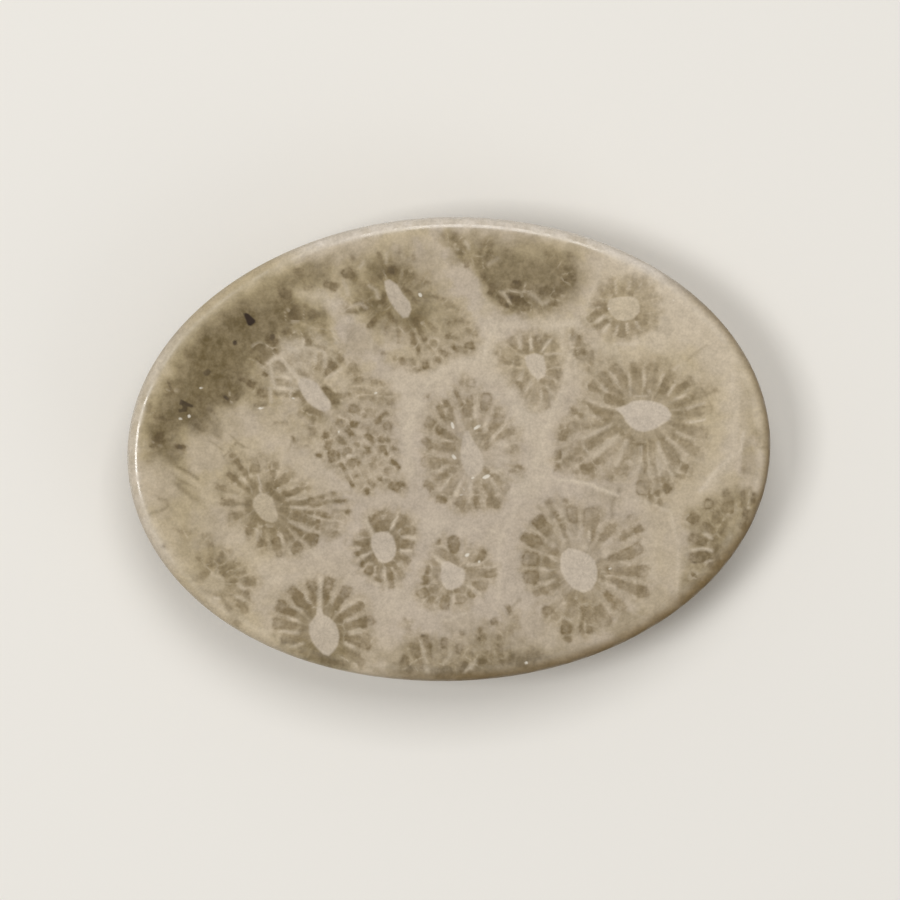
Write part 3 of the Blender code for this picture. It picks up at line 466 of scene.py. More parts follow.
# Chambers of the cups that the edge cuts through, and of the wide net between the first cup and its
# neighbours, in the same form
LOOSE_CHAMBERS = (
    # the net of small chambers below the first cup
    (-6.1, 5.4, -5.8, 4.75, 0.34, 0.4, 0.55), (-5.85, 4.25, -5.55, 4.5, 0.34, 0.34, 0.8),
    (-4.9, 4.3, -4.2, 4.2, 0.28, 0.18, 0.95), (-7.1, 3.4, -6.3, 3.45, 0.3, 0.26, 0.8),
    (-5.95, 3.7, -4.95, 3.68, 0.24, 0.26, 0.5), (-5.65, 3.28, -4.8, 3.18, 0.24, 0.24, 0.6),
    (-3.95, 3.02, -3.5, 3, 0.36, 0.36, 0.55), (-4.4, 3.1, -4.2, 3.1, 0.3, 0.3, 0.45),
    (-4.4, 3.6, -3.6, 3.6, 0.34, 0.34, 0.45), (-6.28, 2.66, -5.65, 2.45, 0.4, 0.34, 0.95),
    (-5.35, 2.15, -5.15, 2.2, 0.26, 0.26, 0.9), (-5.2, 2.3, -4.75, 2.3, 0.5, 0.44, 0.55),
    (-4.95, 2.4, -4.85, 2.42, 0.18, 0.18, 0.5), (-4.65, 1.82, -4.35, 1.95, 0.34, 0.3, 0.9),
    (-4.4, 2.05, -3.95, 2.32, 0.2, 0.2, 0.85), (-4.12, 1.45, -3.78, 1.55, 0.42, 0.46, 0.85, 0.35),
    (-3.42, 2.15, -3.38, 2.05, 0.16, 0.16, 0.4), (-7.1, 1.8, -6.68, 1.62, 0.4, 0.4, 0.7),
    (-6.85, 1.82, -6.72, 1.72, 0.18, 0.18, 0.9), (-6.15, 1.65, -5.85, 1.62, 0.34, 0.34, 1.2),
    (-6.95, 2.35, -6.3, 2.02, 0.2, 0.2, 0.4), (-6.5, 1.38, -6.1, 0.88, 0.32, 0.3, 1),
    (-7.92, 0.95, -7.62, 0.93, 0.26, 0.26, 1.25), (-7.45, 1.25, -7.1, 1.15, 0.3, 0.34, 0.42),
    (-5.48, 1.52, -5.1, 1.2, 0.24, 0.22, 0.65), (-5.25, 0.98, -4.75, 0.52, 0.28, 0.3, 1),
    (-4.85, 1.1, -4.6, 1, 0.24, 0.24, 0.4), (-4.4, 0.6, -4.15, 0.75, 0.32, 0.32, 1),
    (-3.9, 0.72, -3.8, 0.55, 0.18, 0.18, 0.7), (-6.05, 0.75, -5.6, 0.75, 0.26, 0.26, 0.42),
    (-5.95, 0.42, -5.75, 0.28, 0.18, 0.16, 0.6), (-7.05, 0.75, -6.65, 0.5, 0.3, 0.3, 0.75),
    (-6.72, 0.55, -6.55, 0.45, 0.16, 0.16, 0.8), (-7.5, 0.62, -7.65, 0.1, 0.38, 0.34, 1.05),
    (-6.7, -0.12, -6.2, -0.02, 0.36, 0.36, 0.9, 0.6), (-6.42, 0.12, -6.2, -0.15, 0.16, 0.16, 0.8),
    (-7.35, -0.02, -7.25, -0.68, 0.5, 0.62, 1.1), (-8.28, -0.3, -8.12, -0.3, 0.22, 0.22, 1.15),
    (-5.4, 0.3, -5.1, 0.12, 0.18, 0.18, 0.9), (-5.2, -0.1, -5.05, -0.2, 0.24, 0.24, 1.1),
    (-5.6, -0.05, -5.45, -0.25, 0.2, 0.2, 0.4), (-4.45, 0, -4.05, 0.08, 0.3, 0.34, 1.3),
    (-4.08, -0.02, -3.95, -0.32, 0.22, 0.16, 1.1), (-3.62, 0.2, -3.28, 0, 0.18, 0.14, 0.85),
    (-6.08, -0.48, -5.72, -0.88, 0.26, 0.28, 1.05), (-6.35, -0.75, -6, -0.9, 0.3, 0.3, 0.65),
    (-4.78, -0.42, -4.72, -0.72, 0.26, 0.26, 0.65), (-4.95, -1, -4.6, -1.05, 0.36, 0.34, 0.55),
    (-4.4, -0.6, -4.3, -0.92, 0.2, 0.2, 0.38), (-3.62, -0.62, -3.18, -1.12, 0.2, 0.2, 1.25),
    (-4.05, -1.25, -3.75, -1.35, 0.36, 0.4, 0.85), (-6.88, -0.88, -6.58, -1.32, 0.24, 0.2, 1),
    (-7.3, -1.05, -7.18, -1.05, 0.16, 0.16, 0.4), (-6, -1.6, -5.8, -1.6, 0.18, 0.18, 0.8),
    (-6.42, -1.75, -6.1, -2.22, 0.22, 0.12, 1.3), (-5.28, -1.4, -5.22, -1.72, 0.16, 0.16, 0.42),
    (-5.65, -2, -5.5, -2.2, 0.26, 0.26, 0.35), (-5.02, -1.95, -4.72, -2.32, 0.34, 0.34, 0.9),
    (-4.5, -1.78, -4.24, -1.78, 0.18, 0.18, 1.2), (-4.2, -1.92, -3.8, -2, 0.24, 0.24, 0.4),
    (-3.8, -2.15, -3.2, -2.35, 0.36, 0.6, 1.15), (-3.12, -2, -2.75, -2.42, 0.24, 0.12, 1),
    (-5.28, -2.45, -5.24, -2.7, 0.24, 0.22, 1.3),
    # between the first two cups and the upper left edge, and above the sixth
    (-10.45, 9.6, -10.1, 10, 0.74, 0.66, 1), (-9.85, 8.6, -9.4, 8.62, 0.7, 0.7, 0.85),
    (-9.7, 11.15, -9.15, 11.15, 0.46, 0.46, 0.7), (-9.05, 10.12, -8.6, 10.18, 0.2, 0.2, 0.7),
    (-8.8, 8.6, -8.45, 8.4, 0.5, 0.5, 0.5), (0.7, 4.32, 0.7, 4.08, 0.26, 0.24, 0.45),
    (1.1, 4.2, 1.5, 4.2, 0.5, 0.5, 0.5, 0.8), (-1.15, 6.7, -0.9, 6.62, 0.3, 0.3, 0.4),
    (-0.68, 6.25, -0.15, 5.97, 0.2, 0.26, 0.95), (0.12, 6.55, 0.35, 6.33, 0.2, 0.2, 1.15),
    (0.4, 6.28, 1.1, 6.22, 0.34, 0.3, 0.6), (1, 6.55, 1.42, 6.52, 0.4, 0.4, 1.05, 0.3),
    (1.08, 7.45, 1.3, 7.42, 0.3, 0.3, 0.6), (1.5, 7.28, 1.7, 7.22, 0.2, 0.2, 0.65),
    (-0.1, 7.22, -0.1, 7.02, 0.2, 0.2, 1), (0, 7, 0.5, 7, 0.09, 0.08, 0.65),
    (-3.5, 5.72, -3.42, 5.66, 0.2, 0.2, 0.55), (-3.05, 5.76, -2.93, 5.36, 0.34, 0.3, 1.15),
    (-2.4, 5.48, -2.18, 5.5, 0.36, 0.34, 0.75), (-1.7, 5.26, -1.42, 5.44, 0.36, 0.42, 1.2),
    (-0.88, 5.6, -0.66, 5.58, 0.22, 0.22, 0.85), (-2.1, 5, -1.94, 4.92, 0.24, 0.22, 0.95),
    (-4.24, 6.08, -4.1, 6.05, 0.18, 0.16, 0.6), (-0.22, 7.98, 0, 7.88, 0.24, 0.22, 0.8),
    (0.38, 8.15, 1.08, 7.98, 0.2, 0.14, 0.7), (0.62, 8.76, 0.8, 8.72, 0.16, 0.16, 0.6),
    (-0.25, 9.02, 0.3, 9.1, 0.2, 0.16, 0.6), (-6.65, 9.05, -6.5, 8.95, 0.26, 0.26, 0.35),
    (-7.3, 6.15, -7.1, 6.12, 0.16, 0.16, 0.4), (-1.5, 3.4, -1.36, 3.36, 0.2, 0.2, 1),
    # by the left edge
    (-17.62, 4.4, -17.35, 3.78, 0.14, 0.2, 0.85), (-17.75, 3.5, -17.28, 3.65, 0.22, 0.16, 0.6),
    (-18.85, 2.95, -18.7, 2.6, 0.2, 0.24, 0.5), (-18.45, 2.1, -17.5, 1.85, 0.18, 0.26, 0.75),
    (-18.1, 1.15, -18.25, 0.55, 0.3, 0.45, 0.95), (-18.3, 0.4, -18.8, 0.25, 0.2, 0.14, 0.85),
    (-17.05, 0.3, -16.6, 0.1, 0.24, 0.3, 1.2), (-18.9, -0.7, -18.6, -0.75, 0.24, 0.2, 0.35),
    (-16.35, 5.9, -16.3, 5.8, 0.26, 0.26, 0.4), (-15.72, 3.35, -15.68, 3.1, 0.24, 0.24, 0.75),
    (-15.75, 1.8, -15.3, 1.2, 0.36, 0.5, 0.5), (-15.05, 2.6, -14.8, 2.35, 0.12, 0.12, 0.4),
    (-14.2, 3.45, -13.8, 3.25, 0.14, 0.26, 1.1), (-13.6, 3.35, -13.3, 3.35, 0.3, 0.28, 0.8),
    (-17.25, -4.8, -16.65, -5.4, 0.1, 0.12, 0.5), (-17.9, -5.98, -17.7, -6.08, 0.14, 0.12, 0.95),
    (-15.45, -5.2, -15.4, -5.35, 0.2, 0.2, 0.5), (-16.4, -5.1, -16.3, -5.2, 0.2, 0.2, 0.35),
    # the cup that the top edge cuts through
    (3.85, 10.3, 4.42, 10.38, 0.44, 0.42, 1.05), (2.75, 10.3, 2.48, 9.72, 0.62, 0.26, 1),
    (1.98, 10.9, 2.18, 10.85, 0.26, 0.26, 0.95), (1, 11.88, 1.08, 11.45, 0.26, 0.32, 0.85),
    (3.14, 9.6, 3.4, 9.08, 0.24, 0.34, 1.05), (3.4, 9.02, 3.72, 9.06, 0.22, 0.2, 1.15),
    (3.6, 9.68, 4.25, 9.35, 0.26, 0.42, 1.15), (4, 9.22, 4.28, 9.22, 0.24, 0.24, 1),
    (4.38, 9.35, 4.82, 8.75, 0.4, 0.4, 0.95), (3.8, 8.85, 4.35, 8.7, 0.4, 0.34, 0.6),
    (7.25, 10.7, 7.85, 10.72, 0.3, 0.34, 0.95), (5.6, 9.85, 6.2, 10.05, 0.4, 0.36, 0.8),
    (6.2, 9.1, 6.6, 9.18, 0.28, 0.22, 0.95), (5.95, 8.9, 6.35, 8.85, 0.3, 0.3, 0.4),
    (7.1, 10.4, 6.8, 9.85, 0.4, 0.4, 0.5), (6.8, 9.75, 6.5, 9.6, 0.34, 0.34, 0.55),
    (7.05, 11.45, 7.3, 11.25, 0.2, 0.2, 0.5), (6.6, 11.85, 6.6, 11.65, 0.24, 0.24, 0.45),
    (7.5, 12.35, 7.5, 12.12, 0.3, 0.3, 0.4), (2.1, 13.05, 1.85, 12.3, 0.2, 0.26, 0.6),
    (2.6, 12.9, 2.5, 12.35, 0.32, 0.36, 0.5), (2.38, 12, 2.3, 11.6, 0.22, 0.16, 0.55),
    (1.75, 11.95, 1.78, 11.58, 0.24, 0.24, 0.5), (0.1, 13.3, 0.5, 13.25, 0.46, 0.46, 0.55),
    (0.6, 13.05, 0.75, 12.6, 0.34, 0.26, 0.5), (0.6, 12.4, 0.62, 12.28, 0.12, 0.12, 0.5),
    (-0.42, 13.4, -0.35, 13.15, 0.14, 0.14, 0.5), (5.9, 12.32, 6.2, 12.28, 0.2, 0.2, 0.4),
    (4.85, 9.68, 4.95, 9.45, 0.36, 0.36, 0.45, 0.6), (4.9, 10.15, 4.9, 10.1, 0.2, 0.2, 0.5),
    (5.3, 8.9, 5.6, 8.7, 0.36, 0.36, 0.25),
    # the cup that the lower right edge cuts through
    (16.22, -3.2, 16.18, -3.7, 0.5, 0.48, 0.95, 0.7), (15.5, -4.5, 15.08, -4.2, 0.48, 0.52, 0.95),
    (14.95, -4.35, 15, -4.38, 0.2, 0.2, 0.9), (16.6, -3.95, 16.78, -4.6, 0.44, 0.44, 0.6),
    (15.9, -4.6, 16.4, -5.22, 0.42, 0.46, 0.75), (17.25, -4.6, 17.1, -5.3, 0.36, 0.3, 0.55),
    (16, -5.83, 15.05, -5.5, 0.5, 0.5, 0.75), (15.95, -6, 16, -6.02, 0.2, 0.2, 0.85),
    (16.35, -6.73, 15.08, -6.77, 0.55, 0.54, 1.05, 0.2), (17.32, -2.6, 17.5, -3.9, 0.5, 0.56, 0.6),
    (17.55, -3.6, 17.65, -3.95, 0.3, 0.3, 0.65), (18.38, -2.6, 18.42, -3.7, 0.26, 0.3, 0.6),
    (18.55, -3.8, 18.38, -5, 0.34, 0.36, 1), (19.05, -2.85, 19, -3.5, 0.24, 0.26, 1.05),
    (18.4, -1.02, 18.38, -1.35, 0.2, 0.18, 0.6), (19.25, 0.3, 19.85, 0.3, 0.5, 0.44, 0.45),
    (19.2, 1.1, 19.4, 1.1, 0.3, 0.3, 0.25), (16.35, -7.35, 16.9, -7.05, 0.4, 0.34, 0.75),
    (16.65, -5.55, 16.65, -6.8, 0.36, 0.4, 0.6), (15.2, -7.85, 15.32, -7.9, 0.14, 0.12, 0.9),
    (15.14, -7.8, 15.69, -8.1, 0.1, 0.1, 0.7), (15.25, -8.4, 15.7, -8.4, 0.4, 0.3, 0.35),
    # the cup that the lower edge cuts through
    (-1.62, -11.6, -1.35, -12.4, 0.52, 0.34, 0.95), (-1.3, -12.5, -1.25, -13.05, 0.2, 0.22, 0.65),
    (-2.3, -11.9, -2.2, -12.3, 0.5, 0.5, 0.45), (-2.2, -12.4, -2.05, -12.95, 0.56, 0.46, 0.72),
    (-2.75, -12.95, -2.95, -13.45, 0.3, 0.46, 0.85), (-1.82, -13.2, -1.8, -13.65, 0.3, 0.3, 0.95),
    (-2.6, -13.7, -2.35, -13.95, 0.36, 0.34, 0.7), (-0.35, -11.8, -0.35, -12.38, 0.4, 0.38, 0.88),
    (0.66, -12.15, 0.52, -12.7, 0.42, 0.38, 0.72), (-0.7, -13.95, 0.1, -13.95, 0.74, 0.74, 0.6),
    (1, -13.25, 0.7, -13.85, 0.3, 0.34, 0.8), (1.75, -13.72, 1.15, -13.95, 0.2, 0.24, 0.7),
    (1.85, -13.3, 2.25, -13.15, 0.3, 0.42, 0.85), (1.3, -12.7, 1.35, -12.95, 0.26, 0.26, 0.5),
    (1.95, -11.15, 1.8, -11.9, 0.24, 0.26, 0.8), (2.15, -11.55, 2.15, -11.85, 0.2, 0.2, 0.5),
    (2.62, -10.85, 2.95, -10.65, 0.32, 0.3, 0.85), (4.15, -10.45, 4.15, -10.75, 0.16, 0.16, 0.5),
    (0.65, -11.48, 0.82, -11.48, 0.2, 0.2, 0.6), (2.45, -12.6, 2.45, -12.95, 0.34, 0.36, 0.55),
    (3.1, -12.15, 3.15, -12.88, 0.3, 0.42, 0.55), (3.05, -11.65, 3.05, -11.8, 0.2, 0.2, 0.6),
    (3.3, -11.3, 3.32, -11.4, 0.2, 0.2, 0.4), (3.9, -11.3, 3.9, -11.55, 0.2, 0.2, 0.5),
    (3.2, -13.4, 3.85, -13.2, 0.4, 0.32, 0.7), (4.88, -12.6, 4.88, -12.95, 0.2, 0.2, 0.45),
    (-2.65, -11.12, -2.45, -11.38, 0.22, 0.22, 0.55), (-2.85, -10.5, -2.82, -10.62, 0.14, 0.14, 0.4),
    (-0.4, -13.3, -0.2, -13, 0.3, 0.3, 0.3),
)

# Darkest spots, where a chamber's filling holds iron: ends, widths and depth of colour
DARK_SPOTS = (
    (-12.8, 8.5, -12.35, 7.95, 0.16, 0.5, 1), (-13.45, 6.85, -13.42, 6.7, 0.2, 0.22, 0.8),
    (-15.3, 4.75, -15.05, 5, 0.3, 0.34, 0.45), (-16.85, 3.02, -16.1, 2.82, 0.36, 0.14, 0.7),
    (-16.9, 2.47, -16.5, 2.52, 0.2, 0.2, 0.55), (-16.65, 2.75, -16.5, 2.7, 0.36, 0.36, 0.55),
    (-14.15, 3.42, -13.85, 3.27, 0.12, 0.2, 0.6), (-17.6, 4.3, -17.38, 3.85, 0.1, 0.14, 0.3),
    (-3.7, 11.1, -3.6, 11.35, 0.42, 0.36, 0.3), (-11.2, 7.05, -11, 7.08, 0.3, 0.3, 0.35),
    (-1.76, -11.6, -1.66, -11.62, 0.16, 0.14, 0.35), (1.79, -11.84, 1.78, -11.92, 0.12, 0.12, 0.4),
    (2.58, -10.78, 2.64, -10.76, 0.15, 0.15, 0.35), (15.25, -7.06, 15.45, -7.08, 0.12, 0.12, 0.3),
    (16.85, -7.4, 16.9, -7.35, 0.2, 0.2, 0.3), (-16.95, 0.25, -16.8, 0.15, 0.16, 0.16, 0.4),
    (3.68, 9.62, 3.95, 9.5, 0.18, 0.18, 0.3), (3.5, 9.05, 3.62, 9.06, 0.18, 0.18, 0.3),
    (-6.8, 1.8, -6.74, 1.68, 0.14, 0.14, 0.3), (-14.46, -6.82, -14.44, -6.9, 0.18, 0.16, 0.3),
    (4, 10.52, 4.3, 10.46, 0.16, 0.16, 0.25),
)


def ripple(x, y, wavelength, seed, waves=9):
    """Soft unevenness between about -1 and 1: a sum of plane waves in random directions."""
    random = np.random.default_rng(seed)
    direction = random.uniform(0, 2 * np.pi, waves)
    number = 2 * np.pi / (wavelength * random.uniform(0.7, 1.5, waves))
    phase = random.uniform(0, 2 * np.pi, waves)
    total = sum(np.sin(k * (x * np.cos(d) + y * np.sin(d)) + p) for k, d, p in zip(number, direction, phase))
    return total / np.sqrt(waves)


def smooth_step(value, start, end):
    """0 before start and 1 past end, with an even curve between."""
    share = np.clip((value - start) / (end - start), 0, 1)
    return share * share * (3 - 2 * share)


SOFT_SIDES = 1.22     # a chamber with its soft sides, as a share of its width at full colour
SOFT_ENDS = 0.07      # and how much further its soft ends reach, in mm
WIDENING = 0.65       # below 1, a chamber widens mostly near its inner end
CORNER_SHARE = 0.65   # how round its corners are, as a share of its half width


def stroke_distance(x, y, near_x, near_y, far_x, far_y, near_width, far_width):
    """How far places are from a chamber's edge, negative inside.

    A chamber is a straight box whose width grows from its near end to its far end, quickly at first. Its
    corners are rounded by a share of the half width there, or of half its length where that is less.
    """
    run_x, run_y = far_x - near_x, far_y - near_y
    length = np.hypot(run_x, run_y)
    along = ((x - near_x) * run_x + (y - near_y) * run_y) / length
    across = np.abs((y - near_y) * run_x - (x - near_x) * run_y) / length
    share = np.clip(along / length, 0, 1) ** WIDENING
    half_width = 0.5 * SOFT_SIDES * (near_width + share * (far_width - near_width))
    corner = CORNER_SHARE * np.minimum(half_width, length / 2 + SOFT_ENDS)
    sideways = across - half_width + corner
    outwards = np.abs(along - length / 2) - length / 2 - SOFT_ENDS + corner
    outside = np.hypot(np.maximum(sideways, 0), np.maximum(outwards, 0))
    return outside + np.minimum(np.maximum(sideways, outwards), 0) - corner


def route_distance(x, y, from_x, from_y, to_x, to_y):
    """How far places are from the straight run between two points."""
    run_x, run_y = to_x - from_x, to_y - from_y
    share = np.clip(((x - from_x) * run_x + (y - from_y) * run_y) / (run_x ** 2 + run_y ** 2), 0, 1)
    return np.hypot(x - from_x - share * run_x, y - from_y - share * run_y)


def outline_distance(x, y, outline):
    """How far places are from a closed outline, negative inside.

    A place is inside where a ray along the length crosses the outline an odd number of times.
    """
    off = np.full(len(x), np.inf)
    inside = np.zeros(len(x), bool)
    for (from_x, from_y), (to_x, to_y) in zip(outline, outline[1:] + outline[:1]):
        off = np.minimum(off, route_distance(x, y, from_x, from_y, to_x, to_y))
        spans = (from_y > y) != (to_y > y)
        inside ^= spans & (x < from_x + (y - from_y) * (to_x - from_x) / (to_y - from_y + 1e-9))
    return np.where(inside, -off, off)


SLANT = (0.10, -0.06)    # the coral grew through the stone aslant: how far a cup shifts per mm of depth
WANDER = 0.035           # how far the edges of chambers stray from their even shapes, in mm
WANDER_LENGTH = 0.9      # and over how many mm
FAR = 0.9                # an edge further off than this, in mm, leaves no mark
FURTHEST_RAY = 10.0      # and a cup's walls ray no further than this
STEM = 0.9               # how far a chamber's fainter inner part runs on towards the core, in mm
NO_STEM = 0.9            # how near the cup's middle it comes
LEAST_STEM = 0.1         # and its least length, in mm
STEM_TAPER = 0.6         # its width at its inner end, as a share of the chamber's
HOLLOW_EDGE = (0.04, 0.16)   # a chamber pales between these depths inside its edge, in mm,
PLAIN_HOLLOW = 0.12      # and by this share where it has none of its own
CORE_ROUNDING = 0.03     # how much wider than its outline a core is, in mm
HALO_EDGE = (1.2, 0.45)  # where a cup's halo begins and where it is full, as shares of its reach
HALO_RAGGED = 0.2        # how uneven its end is, as a share of its reach
LOOSE_DEPTH = 0.78       # the depth of the loose chambers' colour

depth = THICKNESS - points[:, 2]
plan_x = points[:, 0] + SLANT[0] * depth
plan_y = points[:, 1] + SLANT[1] * depth
x = plan_x + WANDER * ripple(plan_x, plan_y, WANDER_LENGTH, seed=1)
y = plan_y + WANDER * ripple(plan_x, plan_y, WANDER_LENGTH, seed=2)

first_edge, second_edge, stem_edge, core_edge, spot_edge = (np.full(len(x), FAR) for _ in range(5))
chamber_tone, stem_tone, spot_tone, halo = (np.zeros(len(x)) for _ in range(4))
core_clear, core_yellow, cup_x, cup_y = (np.zeros(len(x)) for _ in range(4))
nearest = np.full(len(x), FURTHEST_RAY)


def lay_chamber(places, distance, tone, hollow=PLAIN_HOLLOW):
    """Keeps, at each place, how far the nearest two chambers are and the nearest one's colour."""
    before = first_edge[places]
    closer = distance < before
    second_edge[places] = np.minimum(np.maximum(distance, before), second_edge[places])
    first_edge[places] = np.minimum(distance, before)
    paler = hollow * smooth_step(-distance[closer], *HOLLOW_EDGE)
    chamber_tone[places[closer]] = tone * (1 - paler)


for cup in CUPS:
    middle_x, middle_y = cup["at"]
    off_x, off_y = x - middle_x, y - middle_y
    far_ends = [np.hypot(far_x - middle_x, far_y - middle_y) for _, _, far_x, far_y, *_ in cup["chambers"]]
    places = np.nonzero(off_x ** 2 + off_y ** 2 < (FAR + max(far_ends)) ** 2)[0]
    here_x, here_y = x[places], y[places]
    strength, halo_reach, inner = cup["halo"]
    for near_x, near_y, far_x, far_y, near_width, far_width, tone, *hollow in cup["chambers"]:
        widths = (near_width * cup["spread"], far_width * cup["spread"])
        distance = stroke_distance(here_x, here_y, near_x, near_y, far_x, far_y, *widths)
        lay_chamber(places, distance, tone * cup["depth"], *hollow)
        to_middle = np.hypot(near_x - middle_x, near_y - middle_y)
        back = min(STEM, max(to_middle - NO_STEM, LEAST_STEM)) / to_middle
        stem_x, stem_y = near_x + back * (middle_x - near_x), near_y + back * (middle_y - near_y)
        stem = stroke_distance(here_x, here_y, stem_x, stem_y, (near_x + far_x) / 2, (near_y + far_y) / 2,
                               STEM_TAPER * near_width, near_width)
        closer = stem < stem_edge[places]
        stem_edge[places] = np.minimum(stem, stem_edge[places])
        stem_tone[places[closer]] = tone * inner
    from_core = outline_distance(plan_x[places], plan_y[places], cup["core"]) - CORE_ROUNDING
    core_clear[places[from_core < core_edge[places]]] = cup["clear"]
    core_yellow[places[from_core < core_edge[places]]] = cup["yellow"]
    core_edge[places] = np.minimum(core_edge[places], from_core)
    uneven = 1 + HALO_RAGGED * ripple(off_x[places], off_y[places], 1.3, seed=3)
    browned = strength * smooth_step(from_core / halo_reach / uneven, *HALO_EDGE)
    halo[places] = np.maximum(halo[places], browned)
    radius = np.hypot(off_x[places], off_y[places])
    own = places[radius < nearest[places]]
    cup_x[own], cup_y[own] = off_x[own], off_y[own]
    nearest[places] = np.minimum(nearest[places], radius)
for near_x, near_y, far_x, far_y, near_width, far_width, tone, *hollow in LOOSE_CHAMBERS:
    length = np.hypot(far_x - near_x, far_y - near_y)
    places = np.nonzero(np.hypot(x - near_x, y - near_y) < length + FAR)[0]
    distance = stroke_distance(x[places], y[places], near_x, near_y, far_x, far_y, near_width, far_width)
    lay_chamber(places, distance, tone * LOOSE_DEPTH, *hollow)
for *stroke, tone in DARK_SPOTS:
    distance = stroke_distance(x, y, *stroke)
    spot_tone = np.where(distance < spot_edge, tone, spot_tone)
    spot_edge = np.minimum(spot_edge, distance)


# Stains, tints and clouds: iron has crept in from the rind and browned whole areas near the edge, other
# parts are only warmer or paler, here and there the filling is milky, and along the upper right rim the
# pale areas are partly painted light. All are drawn on the skin too.

# An area is its strength, how softly it ends in mm, and its outline; a patch is its place, half length,
# half width, lean in degrees and strength.
STAINED_AREAS = (
    (0.56, 0.8, (
        (-19.2, 0.3), (-19.2, 2), (-18.3, 3.6), (-17.2, 4.9), (-16.6, 6.6), (-15.4, 8), (-13.8, 9.3),
        (-12, 10.4), (-10.5, 11.2), (-9, 11.7), (-7.5, 11.6), (-7.6, 10.4), (-8.8, 10.2), (-9.8, 9.8),
        (-9.4, 9.3), (-8.2, 9), (-7.6, 8.7), (-7.4, 8.3), (-9.3, 7.6), (-10.5, 7), (-11.9, 6.3), (-12.3, 5),
        (-12.4, 3.6), (-13.8, 3), (-15.3, 2.6), (-16.2, 1.4), (-16.8, 0.4), (-16.6, -0.8), (-17.4, -1),
        (-17.9, -0.6), (-18.9, -0.6))),
    (0.45, 0.5, (
        (-18.8, 1.2), (-18, 2.7), (-17.1, 3.6), (-16.7, 5.2), (-16.2, 6.5), (-15.2, 7.3), (-14, 8.4),
        (-12.7, 9.1), (-11.6, 8.7), (-11, 9.6), (-10.3, 10.2), (-9.6, 9.3), (-10.2, 8.4), (-10.7, 7.2),
        (-12.2, 6.9), (-12.9, 6), (-13, 4.6), (-13.2, 3.2), (-14.5, 2.6), (-15.2, 2), (-16, 1.5),
        (-16.6, 1.9), (-17.6, 1.2), (-17.6, 0.2), (-18.4, 0.2))),
    (0.25, 0.6, (
        (-9.5, 11.6), (-6.5, 12.6), (-3.5, 12.9), (-1, 12.3), (-0.6, 10.8), (0, 9.2), (0.9, 8), (1, 6.8),
        (0, 6.6), (-1, 7.4), (-2.5, 7.3), (-3.8, 7.5), (-5.4, 8), (-6.4, 9.6), (-7.5, 10.6))),
    (0.22, 0.5, (
        (-6.2, 9.2), (-6, 11), (-4.6, 11.9), (-3, 11.9), (-2.2, 10.9), (-1.3, 10), (-1, 8.6), (-1.8, 7.6),
        (-2.9, 7.8), (-3.7, 8.2), (-5, 7.9))),
    (0.42, 0.5, (
        (0.1, 13.5), (2.5, 13.5), (5.5, 13.1), (7.8, 12.4), (8.6, 11.2), (8.3, 9.8), (7.2, 8.9), (5.4, 8.5),
        (3.6, 8.6), (2.4, 9.6), (1.6, 11), (0.6, 12.2))),
    (0.4, 0.4, (
        (1.9, 12.3), (3.5, 12.4), (5, 11.9), (6.8, 11.9), (8, 11.3), (7.9, 10), (6.8, 9.6), (5.5, 9.2),
        (4.2, 8.9), (3.3, 9.4), (2.2, 10.5), (1.7, 11.5))),
    (0.32, 0.6, (
        (14.9, -3.9), (16.2, -3), (18.2, -2.6), (19.4, -2.6), (18.9, -4.8), (17.8, -6.6), (16.6, -8.3),
        (15, -9.5), (14.6, -8.2), (15, -6.6), (14.9, -5.2))),
    (0.3, 0.5, (
        (-5, -13), (-3.5, -12.1), (-1.8, -11.6), (0.2, -11.9), (2, -11.6), (4, -11.6), (6.4, -12.2),
        (9.6, -12.2), (7, -13.6), (2, -14.5), (-3, -14.3))),
)
